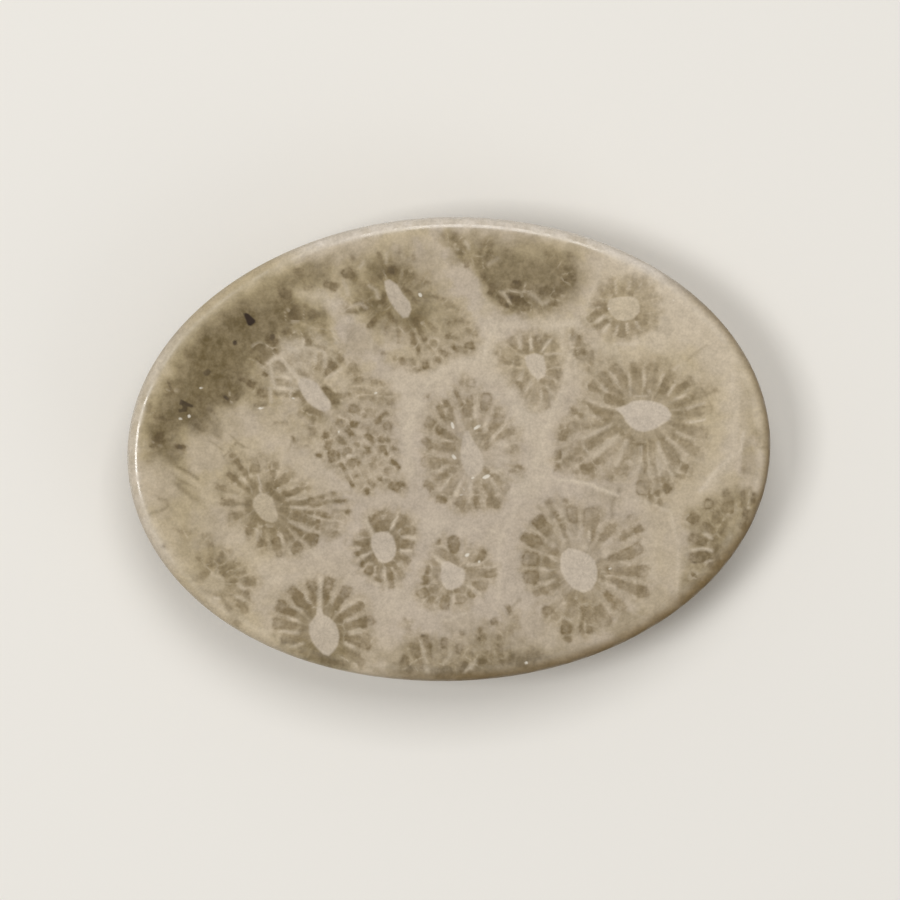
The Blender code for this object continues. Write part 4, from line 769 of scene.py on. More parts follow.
STAIN_PATCHES = (
    (-14.8, 5.8, 1.6, 1.2, 60, 0.25), (-12.6, 8.2, 0.7, 0.5, 40, 0.3), (-16.6, 2.9, 0.7, 0.45, 30, 0.25),
    (-18.2, 0.9, 0.4, 0.7, 0, 0.2), (-15.4, 1.6, 1.2, 0.6, -20, 0.4), (-17.2, 0, 0.7, 0.4, -25, 0.2),
    (-16.5, -2.3, 1.1, 0.35, -35, 0.16), (-0.2, 13.2, 0.8, 0.5, 0, 0.3), (0.4, 12.2, 0.5, 0.8, 0, 0.3),
    (-7.45, 3.35, 0.75, 0.42, -55, 0.34), (-7.15, 2.9, 0.55, 0.4, -70, 0.18),
    (-8.6, 2.3, 0.95, 0.45, -35, 0.26), (-9.5, 3.6, 0.35, 0.3, -60, 0.3), (-8.8, 7.3, 1.2, 0.5, -10, 0.2),
    (-9.2, 8.5, 1.5, 0.55, -8, 0.36), (-7.6, 7.4, 0.5, 0.5, 0, 0.2), (-11.6, 6.4, 0.9, 0.7, 0, 0.25),
    (-10.1, 9.8, 0.6, 0.4, 60, 0.1), (-4, 11.4, 0.9, 0.5, 0, 0.3), (-5, 9, 0.9, 0.6, 20, 0.25),
    (-1.9, 8.3, 0.7, 0.6, 0, 0.25), (17, -6.6, 1.4, 0.5, 55, 0.2), (2.6, -13.6, 3.2, 0.7, 6, 0.35),
    (-1.8, -13.9, 2.6, 0.5, -4, 0.35), (-9, -12.6, 2.2, 0.6, -20, 0.3), (-11, -3.5, 2.6, 2.1, -30, 0.1),
    (-15.2, -7.4, 2.2, 1.4, -50, 0.16), (-17.3, -2.6, 1.2, 2.2, 20, 0.13),
    (-12.4, 4.6, 2.2, 1.5, -60, 0.16), (-8, -10.6, 2.6, 2.6, 0, 0.06), (-10, 2, 3.4, 1, -20, 0.1),
    (-15, 0.5, 3, 2.2, -40, 0.08), (-16, -5.2, 3.4, 1.6, -50, 0.1), (-14, 2.4, 1.6, 0.8, 0, 0.08),
    (-14.2, -2.6, 1.4, 2.4, 20, 0.08), (5.6, -6.4, 1.6, 3, 0, 0.1), (8.6, -9.2, 1, 0.8, 0, 0.15),
    (8.2, -10.8, 1.8, 1.2, 0, 0.12), (14.2, 3.6, 1.4, 1.6, 0, 0.06), (10.4, 4.2, 1.4, 1.2, 0, 0.06),
    (-1, 0.8, 0.8, 2.4, 10, 0.08), (4.8, -11, 1.6, 0.9, 0, 0.16), (1.6, -11.4, 2.6, 0.9, 0, 0.08),
    (15, -8.8, 1, 0.8, 50, 0.3), (12.8, -9.6, 1.2, 0.9, 30, 0.16), (16.8, -6.2, 1.2, 1.4, -30, 0.14),
    (-7.4, -12.2, 1, 0.7, -15, 0.16), (-16.4, 6.6, 1.2, 2.2, -40, 0.2), (-14.6, 3.6, 1.4, 1.4, 0, 0.2),
    (-12.6, 10.6, 2.6, 0.9, 30, 0.08), (9, 3, 1, 0.8, 0, 0.08), (9.6, -3.2, 1.4, 0.7, -20, 0.12),
    (-7.2, -13, 1.4, 0.6, -15, 0.35), (11, -10.9, 1.2, 0.6, 30, 0.35), (-13.2, 8.2, 1, 1, 0, 0.15),
    (4.8, -12.9, 1.2, 0.5, 0, 0.25), (-18.2, 7.4, 0.9, 1.8, -45, 0.45), (-16, 9.6, 1.6, 0.6, 33, 0.25),
    (18.6, 1.6, 0.5, 2.6, 0, 0.15), (-14.6, 1.2, 1.6, 0.9, -20, 0.1), (-5.4, 7, 1.3, 1.1, 0, 0.22),
    (-7.4, 6.4, 1, 1, 0, 0.1), (16, -7.6, 1.2, 1.2, -40, 0.16), (5.6, -13.2, 1.6, 0.5, 8, 0.35),
    (-7.8, -13.3, 1.2, 0.4, -15, 0.3), (10.2, -2.8, 1.2, 0.6, 0, 0.12), (18.8, -0.8, 0.6, 1.2, 0, 0.2),
    (0.8, -10.8, 1.2, 0.8, 0, 0.12), (2.6, 9, 1, 0.8, 0, 0.12), (-18.6, 4.6, 0.8, 1.4, -10, 0.2),
    (17.6, -2.6, 1, 1, 0, 0.15),
)
PALE_AREAS = (
    # Partly painted light: the first two areas, along the upper right rim, brighten it beyond its own paler
    # colour
    (0.85, 0.7, (
        (9, 12.6), (11, 12.5), (14, 10.6), (16.5, 8.2), (18.2, 5.5), (18.8, 3), (18.4, 0), (17, -2.3),
        (15.7, -2.5), (17, -0.4), (17.2, 2), (16.8, 4.4), (15, 6.3), (13, 6.2), (11.4, 6.4), (12.6, 7.6),
        (12.9, 9), (12, 10.4), (10.2, 10.9), (8.9, 11.1))),
    (0.45, 0.7, (
        (9.6, 12.3), (11, 12.2), (13.5, 10.6), (15.4, 8.6), (14.6, 7.8), (13.2, 8.6), (12.8, 10),
        (11.2, 10.9), (9.8, 11.4))),
    (0.65, 0.4, (
        (-4.2, 5.1), (-2.5, 4.9), (-0.5, 5.2), (1.4, 5.9), (2.1, 7), (2.4, 8.6), (3.4, 8.3), (5.5, 8.1),
        (8.2, 8.4), (8.2, 7.8), (7.2, 7.6), (7.6, 6.2), (7.6, 4.4), (6.8, 2.4), (6.3, 0.6), (6.3, -1.6),
        (5.6, -2.8), (4.2, -2.9), (4.1, -1.8), (5.1, -1.6), (4.9, 0.6), (3.6, 2.3), (4.6, 2.8), (6.2, 2.9),
        (7, 4.6), (6.8, 6.6), (5.5, 7.9), (4, 7.7), (3.1, 6.6), (3, 4.6), (2.5, 3.6), (1.5, 4.7),
        (0.2, 4.4), (-1.8, 3.3), (-2.2, 1.5), (-2.4, -1.6), (-2.8, -1.9), (-3.2, 0.8), (-3.2, 2.8),
        (-4, 4.3))),
    (0.4, 0.4, ((-4.6, -8.8), (-3, -8.4), (-2.4, -9.6), (-3.2, -10.6), (-4.6, -10))),
    (0.4, 0.4, ((-11.8, -6.9), (-10.4, -7), (-10.2, -8.2), (-11.4, -8.6), (-12.2, -7.8))),
)
COOL_PATCHES = (
    (-6.5, 7.9, 2, 0.7, -60, 0.9), (-10.2, 5.6, 1.7, 1.3, 0, 0.7), (0.9, 10.6, 1.8, 0.9, -60, 0.9),
    (3.4, 7.7, 2, 1.1, -20, 0.8), (-3, 4.6, 2.2, 1, -20, 0.7), (-9, -0.6, 2.2, 0.7, -30, 0.4),
    (14.2, -6.6, 0.9, 2.6, 0, 0.3), (18, 0, 1, 1.6, 0, 0.5), (10, -0.4, 1.8, 1.2, 0, 0.4),
    (-5.6, 6.4, 1.6, 1.2, -30, 0.8), (-9, 3, 1.6, 1.3, 0, 0.6), (-2.4, 11.2, 1.6, 1.6, 0, 0.5),
    (8.4, 7, 1.2, 1.2, 0, 0.6), (-14.2, -5, 2, 1.6, 0, 0.4), (-13.8, 1.8, 2.2, 1.2, 0, 0.35),
    (-10.8, 1.2, 2.6, 1.2, -20, 0.35), (-10.8, -9, 2, 1.4, 0, 0.4), (-0.8, 11.6, 1.4, 2.2, 0, 0.5),
    (-3.2, 7.4, 1.2, 1, 0, 0.4), (-15.2, 0.2, 1.4, 1.8, 0, 0.5), (-18.4, -1.6, 1.4, 2.4, 0, 0.4),
    (8.8, 10.6, 1.2, 1.6, 0, 0.5), (11, 7.2, 1.2, 0.9, 0, 0.4), (-6.6, 12.6, 2.6, 0.8, 20, 0.5),
    (2.6, 13.5, 3, 0.7, 0, 0.5), (18.8, -1.4, 0.9, 1.8, 0, 0.5), (15.4, -5.6, 1, 1.2, 0, 0.4),
    (0.6, -11.6, 3.4, 1, 0, 0.5), (6.4, 9.4, 2.4, 0.9, 0, 0.4), (-10.8, -10.4, 1.2, 0.8, 0, 0.4),
)
CLOUDS = (
    (-9.6, 6.1, 1.7, 1.2, 30, 0.9), (-10.3, 4.6, 1.5, 1.3, 0, 0.7), (-8.2, 6.2, 1.2, 0.8, -20, 0.5),
    (1.2, 0.9, 0.7, 1.1, 0, 0.5), (2.4, -1.6, 1.2, 0.9, -20, 0.35), (8.3, 7.9, 2, 0.5, 5, 0.45),
    (15, 9.4, 2.8, 1.2, -40, 0.4), (-7.2, 8.9, 1.6, 0.7, -35, 0.4), (-8.5, 9.6, 1.2, 0.5, -20, 0.35),
    (2.2, 8.6, 0.8, 1.6, 20, 0.35), (4, 2.2, 1, 1.6, 25, 0.35), (3.8, -2.2, 1.4, 0.9, 0, 0.35),
    (-1.6, -4.8, 2.2, 0.8, 0, 0.3), (4.8, 3.2, 1.4, 1.3, 0, 0.3), (13.4, -1, 1.8, 0.9, 0, 0.6),
    (-7, 0.4, 1.6, 2, -40, 0.25), (7, -4.8, 1.2, 1, 0, 0.25), (11.8, -7.4, 1.2, 2, 0, 0.2),
    (1, 3.4, 1, 0.8, 0, 0.35), (-1, -9, 1, 1, 0, 0.3), (-8.6, -4.6, 1.2, 1, 0, 0.3),
    (17.4, -5.6, 0.5, 0.22, 60, 0.8), (9.4, 6, 1.4, 0.7, 0, 0.4), (11.4, 11.2, 1.4, 0.8, -25, 0.4),
    (14.6, 4.6, 1, 0.8, 0, 0.3),
)

PATCH_EDGE = (1.35, 0.65)   # where a patch begins and where it is full, as shares of its own size
AREA_RAGGED = 0.16          # how far an area's edge strays from its outline, in mm
PINK_MIDDLE = (1.5, -4.6)   # the ivory is pinkest here, and yellower towards the ends of the stone
PINK_REACH = (17, 15)
PINK_EDGE = (0.35, 1.05)    # where it begins to yellow and where it is all yellow, as shares of that reach
TOP_LEFT = (-0.8, 0.6)      # the yellow is deepest this way,
STRAW_EDGE = (11, 17)       # between these distances from the middle, in mm
STRAW_SHARE = 0.25          # and this much of it is found only there


def patches(entries, ragged, seed):
    """How deep each place lies in any of the soft patches, from 0 to 1."""
    clear = np.ones(len(plan_x))
    wander = ragged * ripple(plan_x, plan_y, 1.1, seed) + 0.5 * ragged * ripple(plan_x, plan_y, 0.4, seed + 1)
    for at_x, at_y, long_half, short_half, lean, strength in entries:
        c, s = np.cos(np.radians(lean)), np.sin(np.radians(lean))
        off_x, off_y = plan_x - at_x, plan_y - at_y
        k = np.hypot((off_x * c + off_y * s) / long_half, (off_y * c - off_x * s) / short_half)
        clear *= 1 - strength * smooth_step(k + wander, *PATCH_EDGE)
    return 1 - clear


def areas(entries, seed):
    """How deep each place lies in any of the outlined areas, from 0 to 1."""
    clear = np.ones(len(plan_x))
    wander_x = plan_x + AREA_RAGGED * ripple(plan_x, plan_y, 1.2, seed)
    wander_y = plan_y + AREA_RAGGED * ripple(plan_x, plan_y, 1.2, seed + 1)
    for strength, softness, outline in entries:
        off = outline_distance(wander_x, wander_y, outline)
        clear *= 1 - strength * smooth_step(off, softness, -softness)
    return 1 - clear


stain = 1 - (1 - areas(STAINED_AREAS, seed=31)) * (1 - patches(STAIN_PATCHES, ragged=0.16, seed=11))
pale = areas(PALE_AREAS, seed=43)
cloud = patches(CLOUDS, ragged=0.2, seed=21)
from_pink = np.hypot((plan_x - PINK_MIDDLE[0]) / PINK_REACH[0], (plan_y - PINK_MIDDLE[1]) / PINK_REACH[1])
from_pink += 0.06 * ripple(plan_x, plan_y, 5.0, seed=41)
straw = smooth_step(TOP_LEFT[1] * plan_y + TOP_LEFT[0] * plan_x, *STRAW_EDGE)
warm = smooth_step(from_pink, *PINK_EDGE) * (1 - patches(COOL_PATCHES, ragged=0.2, seed=45))
warm *= 1 - STRAW_SHARE + STRAW_SHARE * straw


# The rim: along the lower edge and the right end the last millimetre or so is darker, partly brown
# stain and partly painted shade where the bevel turns away from the lamps. On the left and along the top
# the bevel gets a painted highlight, a pale colour where it faces the lamps; it is polished bright there
# and duller elsewhere. Ways around the rim are in degrees, from the right end towards the top.
DARK_RIM_SETS_IN = (-118, -80)
DARK_RIM_WIDENS = (-70, -50)
DARK_RIM_NARROWS = (-30, -4)
DARK_RIM_FADES = (-18, 25)
DARK_RIM_ENDS = (60, 30)
DARK_RIM_WIDTHS = (0.85, 0.4, 0.6)   # in mm: at first, then so much more, and then so much less
DARK_RIM_FADING = 0.4
DARK_RIM_RAGGED = 0.05
RIM_BAND = (1.3, 0.1)            # where the worn rim begins and is full, in mm from the edge
HIGHLIGHT_BAND = (0.85, 0.3)          # the same for its pale part
DOME_FADE = (3.2, 1.2)           # the marks of the rim fade out between these depths, in mm
# Painted highlight: the bevel gets a pale colour where it faces the left and top lamps, standing in for their
# reflection
LEFT_WAY, LEFT_HIGHLIGHT, LEFT_SHINY = 178, (0.88, 0.96), (0.975, 0.99)   # a way, and cosines of the turn
TOP_WAY, TOP_HIGHLIGHT, TOP_SHINY = 82, (0.6, 0.78), (0.8, 0.9)           # away from it
LEFT_HIGHLIGHT_SHARE = 0.6                 # how pale the left is beside the top

way = np.degrees(np.arctan2(points[:, 1], points[:, 0]))
to_edge = outline_radius(np.radians(way)) - np.hypot(points[:, 0], points[:, 1])
above_dome = smooth_step(depth, *DOME_FADE)
# Partly painted shade: this dark band is partly brown stain and partly shade where the bevel turns away from
# the lamps
dark_rim_strength = smooth_step(way, *DARK_RIM_SETS_IN) * (1 - DARK_RIM_FADING * smooth_step(way, *DARK_RIM_FADES))
least, more, less = DARK_RIM_WIDTHS
dark_rim_width = least + more * smooth_step(way, *DARK_RIM_WIDENS) - less * smooth_step(way, *DARK_RIM_NARROWS)
dark_rim_off = to_edge / dark_rim_width + DARK_RIM_RAGGED * ripple(plan_x, plan_y, 1.4, seed=51)
rim_stain_and_shade = dark_rim_strength * smooth_step(dark_rim_off, 1.0, 0.0)
rim_stain_and_shade *= smooth_step(way, *DARK_RIM_ENDS)
rim_stain_and_shade *= above_dome
by_left = np.cos(np.radians(way - LEFT_WAY))
by_top = np.cos(np.radians(way - TOP_WAY))
# painted highlight on the bevel where it faces the lamps
bevel_highlight_share = smooth_step(to_edge, *HIGHLIGHT_BAND) * above_dome
bevel_highlight_share *= LEFT_HIGHLIGHT_SHARE * smooth_step(by_left, *LEFT_HIGHLIGHT) + smooth_step(by_top, *TOP_HIGHLIGHT)
rim_share = smooth_step(to_edge, *RIM_BAND)
shiny = smooth_step(by_left, *LEFT_SHINY) + smooth_step(by_top, *TOP_SHINY)
matt = rim_share * (1 - np.clip(shiny, 0, 1))


# Seams, cracks and glints: the thin pale walls, where neighbouring cups or chambers meet, cut edge on;
# fine brown cracks, mostly near the left end; and glints, painted highlights: white spots in the colour
# where quartz faces in open chambers catch the light.

# A seam or a crack is its half width, its strength and the points that it passes; a glint is its place,
# length, width and lean.
SEAMS = (
    # borders between cups
    (0.07, 0.8, ((2.16, 5.9), (2.3, 6.6), (2.5, 7.15), (2.9, 7.8))),
    (0.09, 0.35, ((2.9, 7.8), (4.2, 7.75), (6.2, 7.65), (8.15, 8))),
    (0.2, 0.4, ((2.8, 5.7), (1.6, 5.7), (0.35, 5.5), (-0.6, 4.9), (-1.4, 4), (-2.5, 1.85), (-2.7, 0.3))),
    (0.07, 0.9, ((6.9, -1.9), (7.8, -1.95), (8.9, -2.25), (10.5, -2.85))),
    (0.06, 0.4, ((11, -3), (12.5, -3.4), (13.8, -3.9), (14.3, -6), (14.25, -9.4))),
    (0.08, 0.9, ((15.7, -2.6), (16.2, -1.9), (16.8, -1.2), (17.6, -0.5), (18.2, -0.1), (18.4, 1))),
    (0.06, 0.5, ((10.3, 6.6), (11.7, 6.6))), (0.08, 0.5, ((17.7, 4.7), (17.7, 3.7))),
    (0.07, 0.5, ((-6.1, 9), (-5.6, 9.2), (-5.2, 8.9))),
    (0.05, 0.28, ((3.2, 9.85), (3.9, 9.95), (4.9, 9.85), (5.6, 9.4))),
    (0.05, 0.5, ((-7.4, 7.6), (-7.25, 7.2), (-7.05, 6.8))),
    (0.09, 0.4, ((8.1, 8.1), (9.2, 10.5), (9.5, 11.8))),
    (0.1, 0.4, ((8.1, 8.1), (7.4, 5.5), (6.9, 3.5), (5.9, 1.2), (5.3, -1.2))),
    (0.08, 0.35, ((5.3, -1.6), (6.9, -1.9))), (0.1, 0.3, ((4.2, -3.6), (3.1, -5.5), (3, -9.5))),
    # walls in the first and second cups
    (0.12, 0.7, ((-11.35, 5.45), (-11, 5.75), (-10.65, 5.85), (-10.3, 5.5), (-9.9, 5), (-9.55, 4.6))),
    (0.09, 0.65, ((-11.25, 5.4), (-11.15, 4.9), (-11.1, 4.5), (-10.95, 4.05))),
    (0.06, 0.5, ((-11.05, 4.62), (-10.3, 4.6), (-9.8, 4.55))),
    (0.07, 0.65, ((-11, 3.9), (-10.3, 3.86), (-9.5, 3.9))),
    (0.06, 0.55, ((-11.3, 3.9), (-11.2, 3.4), (-11.15, 3))), (0.05, 0.4, ((-9.95, 3.85), (-9.98, 3.4))),
    (0.09, 0.5, ((-9.2, 6.9), (-9.15, 6.45), (-8.6, 6.3), (-8, 6.25), (-7.78, 5.9), (-7.8, 5.2))),
    (0.05, 0.45, ((-8.45, 6.1), (-8.4, 5.4))), (0.06, 0.4, ((-7.75, 4.5), (-7.2, 4.8), (-6.8, 5.1))),
    (0.05, 0.8, ((-6.35, -0.35), (-6, -0.4))), (0.08, 0.45, ((-5.05, 10.3), (-4.65, 10), (-4.5, 9.6))),
    (0.07, 0.4, ((-5.4, 11.75), (-5.65, 11.45))), (0.06, 0.35, ((-4, 12.3), (-4, 11.7))),
    (0.08, 0.4, ((-6.7, 10.6), (-6.45, 10.1), (-6.4, 9.7))),
    (0.08, 0.3, ((-4.9, 6.9), (-4.95, 6.3), (-4.8, 5.8))),
    # in the third, fourth and fifth
    (0.05, 0.6, ((4.4, 6.85), (4.36, 6.35))), (0.05, 0.85, ((5.08, 6.95), (5.05, 6.3))),
    (0.06, 0.75, ((6.22, 6.88), (5.82, 6.22))), (0.05, 0.5, ((4.45, 4.82), (4.33, 4.42))),
    (0.06, 0.55, ((4.72, 3.75), (5.08, 4.12))), (0.06, 0.45, ((5.95, 5.98), (6.95, 6))),
    (0.06, 0.5, ((5.7, 3.6), (5.72, 3.2))), (0.07, 0.45, ((6.05, 4), (6.3, 3.6), (6.55, 3.4))),
    (0.1, 0.8, ((2.55, 7.2), (2.85, 7.65))),
    (0.08, 0.45, ((7.52, 7.15), (7.6, 6.4), (7.78, 5.6), (7.85, 4.8))),
    (0.06, 0.6, ((10.5, 7.75), (10.38, 7.3))), (0.07, 0.7, ((9.62, 8.38), (9.22, 8.02))),
    (0.06, 0.5, ((11.08, 7.85), (11.12, 7.45))), (0.05, 0.5, ((11.65, 7.98), (11.72, 7.65))),
    (0.07, 0.5, ((9.95, 7.8), (9.6, 7.42))), (0.06, 0.4, ((10.35, 10.5), (10.4, 10.05))),
    (0.06, 0.4, ((11.2, 10.5), (11.1, 10.05))), (0.05, 0.3, ((11.95, 10.5), (11.85, 10.1))),
    (0.1, 0.35, ((9.5, 11.8), (9.3, 10.8), (8.8, 9.8), (8.4, 8.7))),
    (0.07, 0.3, ((12, 7), (12.9, 7.35), (13.3, 7.9))), (0.06, 0.4, ((14.4, 6.9), (14.9, 6.75))),
    (0.06, 0.5, ((11.28, 4.6), (11.32, 3.4))), (0.05, 0.6, ((12.15, 4.6), (12.18, 3.98))),
    (0.06, 0.55, ((12.45, 3.65), (12.52, 3.55))), (0.06, 0.45, ((10.05, 4.85), (10.5, 4.2))),
    (0.06, 0.5, ((9.45, 4.1), (9.8, 3.65))), (0.05, 0.5, ((13.05, 4.1), (13.35, 4.6))),
    (0.06, 0.55, ((13.65, 3.45), (14.1, 4))), (0.05, 0.65, ((14.1, 3.18), (14.75, 3.42))),
    (0.06, 0.5, ((14.85, 2.55), (15.9, 2.9))), (0.04, 0.9, ((15, 1.7), (15.95, 1.85))),
    (0.08, 0.35, ((14.2, 1.1), (15.3, 0.62))), (0.1, 0.4, ((13.6, 0.72), (14.2, 0.25), (14.9, -0.3))),
    (0.07, 0.5, ((12.98, 0.45), (13.12, -0.1), (13.5, -0.85))), (0.07, 0.5, ((11.95, 0.15), (11.95, -0.8))),
    (0.13, 0.5, ((11.05, 0.5), (10.72, -0.25), (10.4, -0.9))),
    (0.12, 0.5, ((10.4, 0.8), (9.75, 0.25), (9.05, -0.4))),
    (0.08, 0.55, ((9.95, 1.5), (9.2, 1.1), (8.3, 0.7))),
    (0.06, 0.4, ((8.3, 0.6), (8.4, 0.1), (8.75, -0.35))),
    (0.14, 0.32, ((10.8, 2.55), (9.7, 2.7), (8.6, 3.1))), (0.04, 0.5, ((11.6, 3.33), (12.3, 3.33))),
    (0.08, 0.35, ((9.4, 2), (8.5, 2.25))), (0.07, 0.4, ((7.1, -0.2), (7.2, -0.35))),
    (0.05, 0.4, ((14.05, 4.95), (14.3, 5.3))), (0.07, 0.4, ((11.05, -0.75), (11.25, -0.8))),
    # in the sixth, seventh and eighth
    (0.08, 0.6, ((3.17, 1.3), (2.6, 0.66))), (0.07, 0.45, ((2.33, 1.8), (2.12, 1.25))),
    (0.05, 0.6, ((2.85, 0.37), (3.6, 0.3))), (0.05, 0.5, ((3.1, -0.55), (3.6, -0.68))),
    (0.1, 0.55, ((2.6, -1.4), (3.2, -1.28))), (0.07, 0.45, ((-0.1, -1.85), (-0.6, -2.5))),
    (0.07, 0.5, ((0.6, -2.15), (0.35, -2.8))), (0.1, 0.45, ((1.25, -2.1), (1.3, -2.8))),
    (0.06, 0.45, ((2.65, -1.85), (2.95, -2.4))), (0.08, 0.5, ((-0.95, -1.4), (-0.25, -1.05))),
    (0.06, 0.35, ((-0.55, 0.55), (0.1, 0.55))), (0.06, 0.35, ((1.62, 2.7), (1.58, 2.05))),
    (0.05, 0.65, ((-11.83, -2.55), (-11.87, -2.1), (-11.97, -1.55))),
    (0.06, 0.45, ((-12.1, -5), (-12, -5.6))), (0.07, 0.45, ((-10.6, -5.2), (-10.4, -5.9))),
    (0.06, 0.5, ((-10, -4.5), (-9.1, -4.92))), (0.08, 0.5, ((-8.8, -6.25), (-8.35, -6.6), (-7.9, -6.25))),
    (0.05, 0.4, ((-9.95, -2.95), (-9, -2.97))), (0.05, 0.5, ((-9.85, -3.62), (-9, -3.6))),
    (0.05, 0.25, ((-13, -1.9), (-12.75, -1.65))), (0.12, 0.6, ((-4.8, -5.25), (-5, -4.85), (-5.25, -4.4))),
    (0.06, 0.85, ((-3.27, -4.12), (-3.7, -4.9))), (0.07, 0.7, ((-2.86, -5.45), (-2.22, -5.55))),
    (0.07, 0.65, ((-3.1, -6.25), (-2.5, -6.3))), (0.06, 0.6, ((-5.5, -6.72), (-5, -6.38))),
    (0.05, 0.5, ((-3.2, -5.05), (-3.1, -4.95))), (0.07, 0.4, ((-4.15, -4.25), (-4.15, -4.1))),
    (0.06, 0.4, ((-5.35, -7.2), (-4.85, -7.1))),
    (0.07, 0.45, ((-4.15, -7.55), (-3.95, -8.2), (-3.95, -8.8))),
    (0.06, 0.4, ((-4.8, -8.2), (-4.45, -8.5))),
    # in the ninth to the twelfth
    (0.08, 0.6, ((-0.95, -6.7), (-0.45, -7.1))), (0.09, 0.6, ((1.1, -7.22), (1.85, -7.2))),
    (0.06, 0.4, ((-0.5, -10.6), (-0.1, -10.67), (0.57, -10.4), (1, -10.2))),
    (0.05, 0.5, ((1.1, -8.5), (1.6, -8.9), (1.9, -9))), (0.05, 0.45, ((1.45, -4.9), (1.95, -5.1))),
    (0.05, 0.5, ((2.6, -5.12), (2.85, -5.15))), (0.05, 0.4, ((3.3, -5.25), (3.5, -5.35))),
    (0.06, 0.4, ((0.1, -9.1), (0.2, -9.4))), (0.06, 0.35, ((-0.6, -6), (-0.3, -6.1))),
    (0.06, 0.35, ((-2, -9.3), (-1.6, -9.45))), (0.06, 0.7, ((8.7, -5.1), (8.72, -5.65))),
    (0.12, 0.55, ((8.35, -6), (8.6, -6.2))), (0.07, 0.45, ((7.15, -10.5), (7.6, -10.65))),
    (0.05, 0.5, ((6.35, -6.7), (6.62, -6.98))), (0.05, 0.45, ((5.75, -7.45), (6.25, -7.6))),
    (0.06, 0.5, ((6, -8.42), (6.45, -8.2))), (0.06, 0.35, ((9.5, -8.4), (9.5, -9))),
    (0.06, 0.5, ((6.85, -4.2), (6.95, -4.1))), (0.06, 0.4, ((7.1, -6), (7.1, -5.6))),
    (0.06, 0.35, ((9.7, -8.3), (10.4, -8.75))), (0.1, 0.7, ((-8.15, -9.9), (-8.15, -9), (-8.12, -8))),
    (0.07, 0.4, ((-8.95, -9.2), (-8.75, -9.5))), (0.05, 0.4, ((-7.25, -9.1), (-7.38, -9.45))),
    (0.06, 0.55, ((-6.2, -9.6), (-6.75, -10))), (0.06, 0.5, ((-6.1, -10.5), (-6.45, -10.7))),
    (0.06, 0.55, ((-6.25, -11.43), (-5.6, -11.4))), (0.07, 0.6, ((-6.5, -12.12), (-6.05, -12.35))),
    (0.07, 0.5, ((-9.95, -9.7), (-9.3, -10.05))), (0.06, 0.45, ((-10.1, -10.55), (-9.55, -10.62))),
    (0.09, 0.45, ((-10.6, -11.35), (-9.5, -11.42))), (0.06, 0.35, ((-9.9, -12.3), (-9.2, -12.05))),
    (0.06, 0.5, ((-13.2, -8.45), (-12.9, -8.68))), (0.08, 0.4, ((-13.4, -9.1), (-12.9, -9.3))),
    (0.06, 0.6, ((-14.72, -9.2), (-14.45, -9.2))), (0.08, 0.4, ((-14.85, -7.75), (-14.3, -8))),
    # in the cups that the edge cuts through
    (0.08, 0.3, ((2.4, 11.62), (2.75, 11.8), (3, 12))),
    (0.09, 0.32, ((3.25, 9.85), (3.55, 9.5), (3.75, 9.25))),
    (0.1, 0.35, ((5, 9.8), (5.4, 9.5), (5.8, 9.15), (6.1, 9.3))), (0.07, 0.45, ((1, 13), (1.15, 12.6))),
    (0.08, 0.55, ((16, -5.3), (16.4, -5.52))), (0.05, 0.7, ((15.2, -6.25), (15.9, -6.28), (16.4, -6.35))),
    (0.05, 0.6, ((16, -7.15), (16.35, -7))), (0.1, 0.3, ((-1.65, -12.6), (-1.55, -13.3), (-1.4, -13.9))),
    (0.09, 0.4, ((-0.4, -13.4), (-0.1, -13.05), (0, -12.6))), (0.07, 0.5, ((1.3, -13.4), (0.95, -13.95))),
    (0.07, 0.45, ((1.6, -13.25), (1.3, -13.65))), (0.07, 0.35, ((-1.8, -12), (-1.6, -12.8))),
)
CRACKS = (
    (0.035, 0.25, ((16.05, 6.5), (15.4, 6), (14.85, 5.6))),
    (0.16, 0.35, ((-18.1, -0.1), (-17.5, -0.5), (-17.15, -0.85))),
    (0.07, 0.55, ((-17.1, -1), (-16.6, -1.25), (-16.2, -1.42), (-15.8, -1.75))),
    (0.06, 0.3, ((-17.4, -1.35), (-16.8, -1.9), (-15.9, -2.38))),
    (0.1, 0.35, ((-17.1, -2.05), (-16.5, -2.57), (-16.2, -2.85))),
    (0.05, 0.3, ((-16.2, -2.85), (-15.65, -3.3))),
    (0.1, 0.3, ((-18.2, -3), (-17.75, -3.15), (-17.62, -3.45), (-18.1, -3.75), (-18.7, -3.98))),
    (0.03, 0.3, ((-15.1, 0.65), (-14.2, 0.02))), (0.03, 0.3, ((-13.7, 1), (-13, 0.2))),
    (0.09, 0.35, ((10.65, -2.5), (10.2, -3.2), (10.15, -4.1))),
    (0.03, 0.4, ((-14.2, -0.4), (-13.3, 0.5), (-12.7, 0.2))),
)
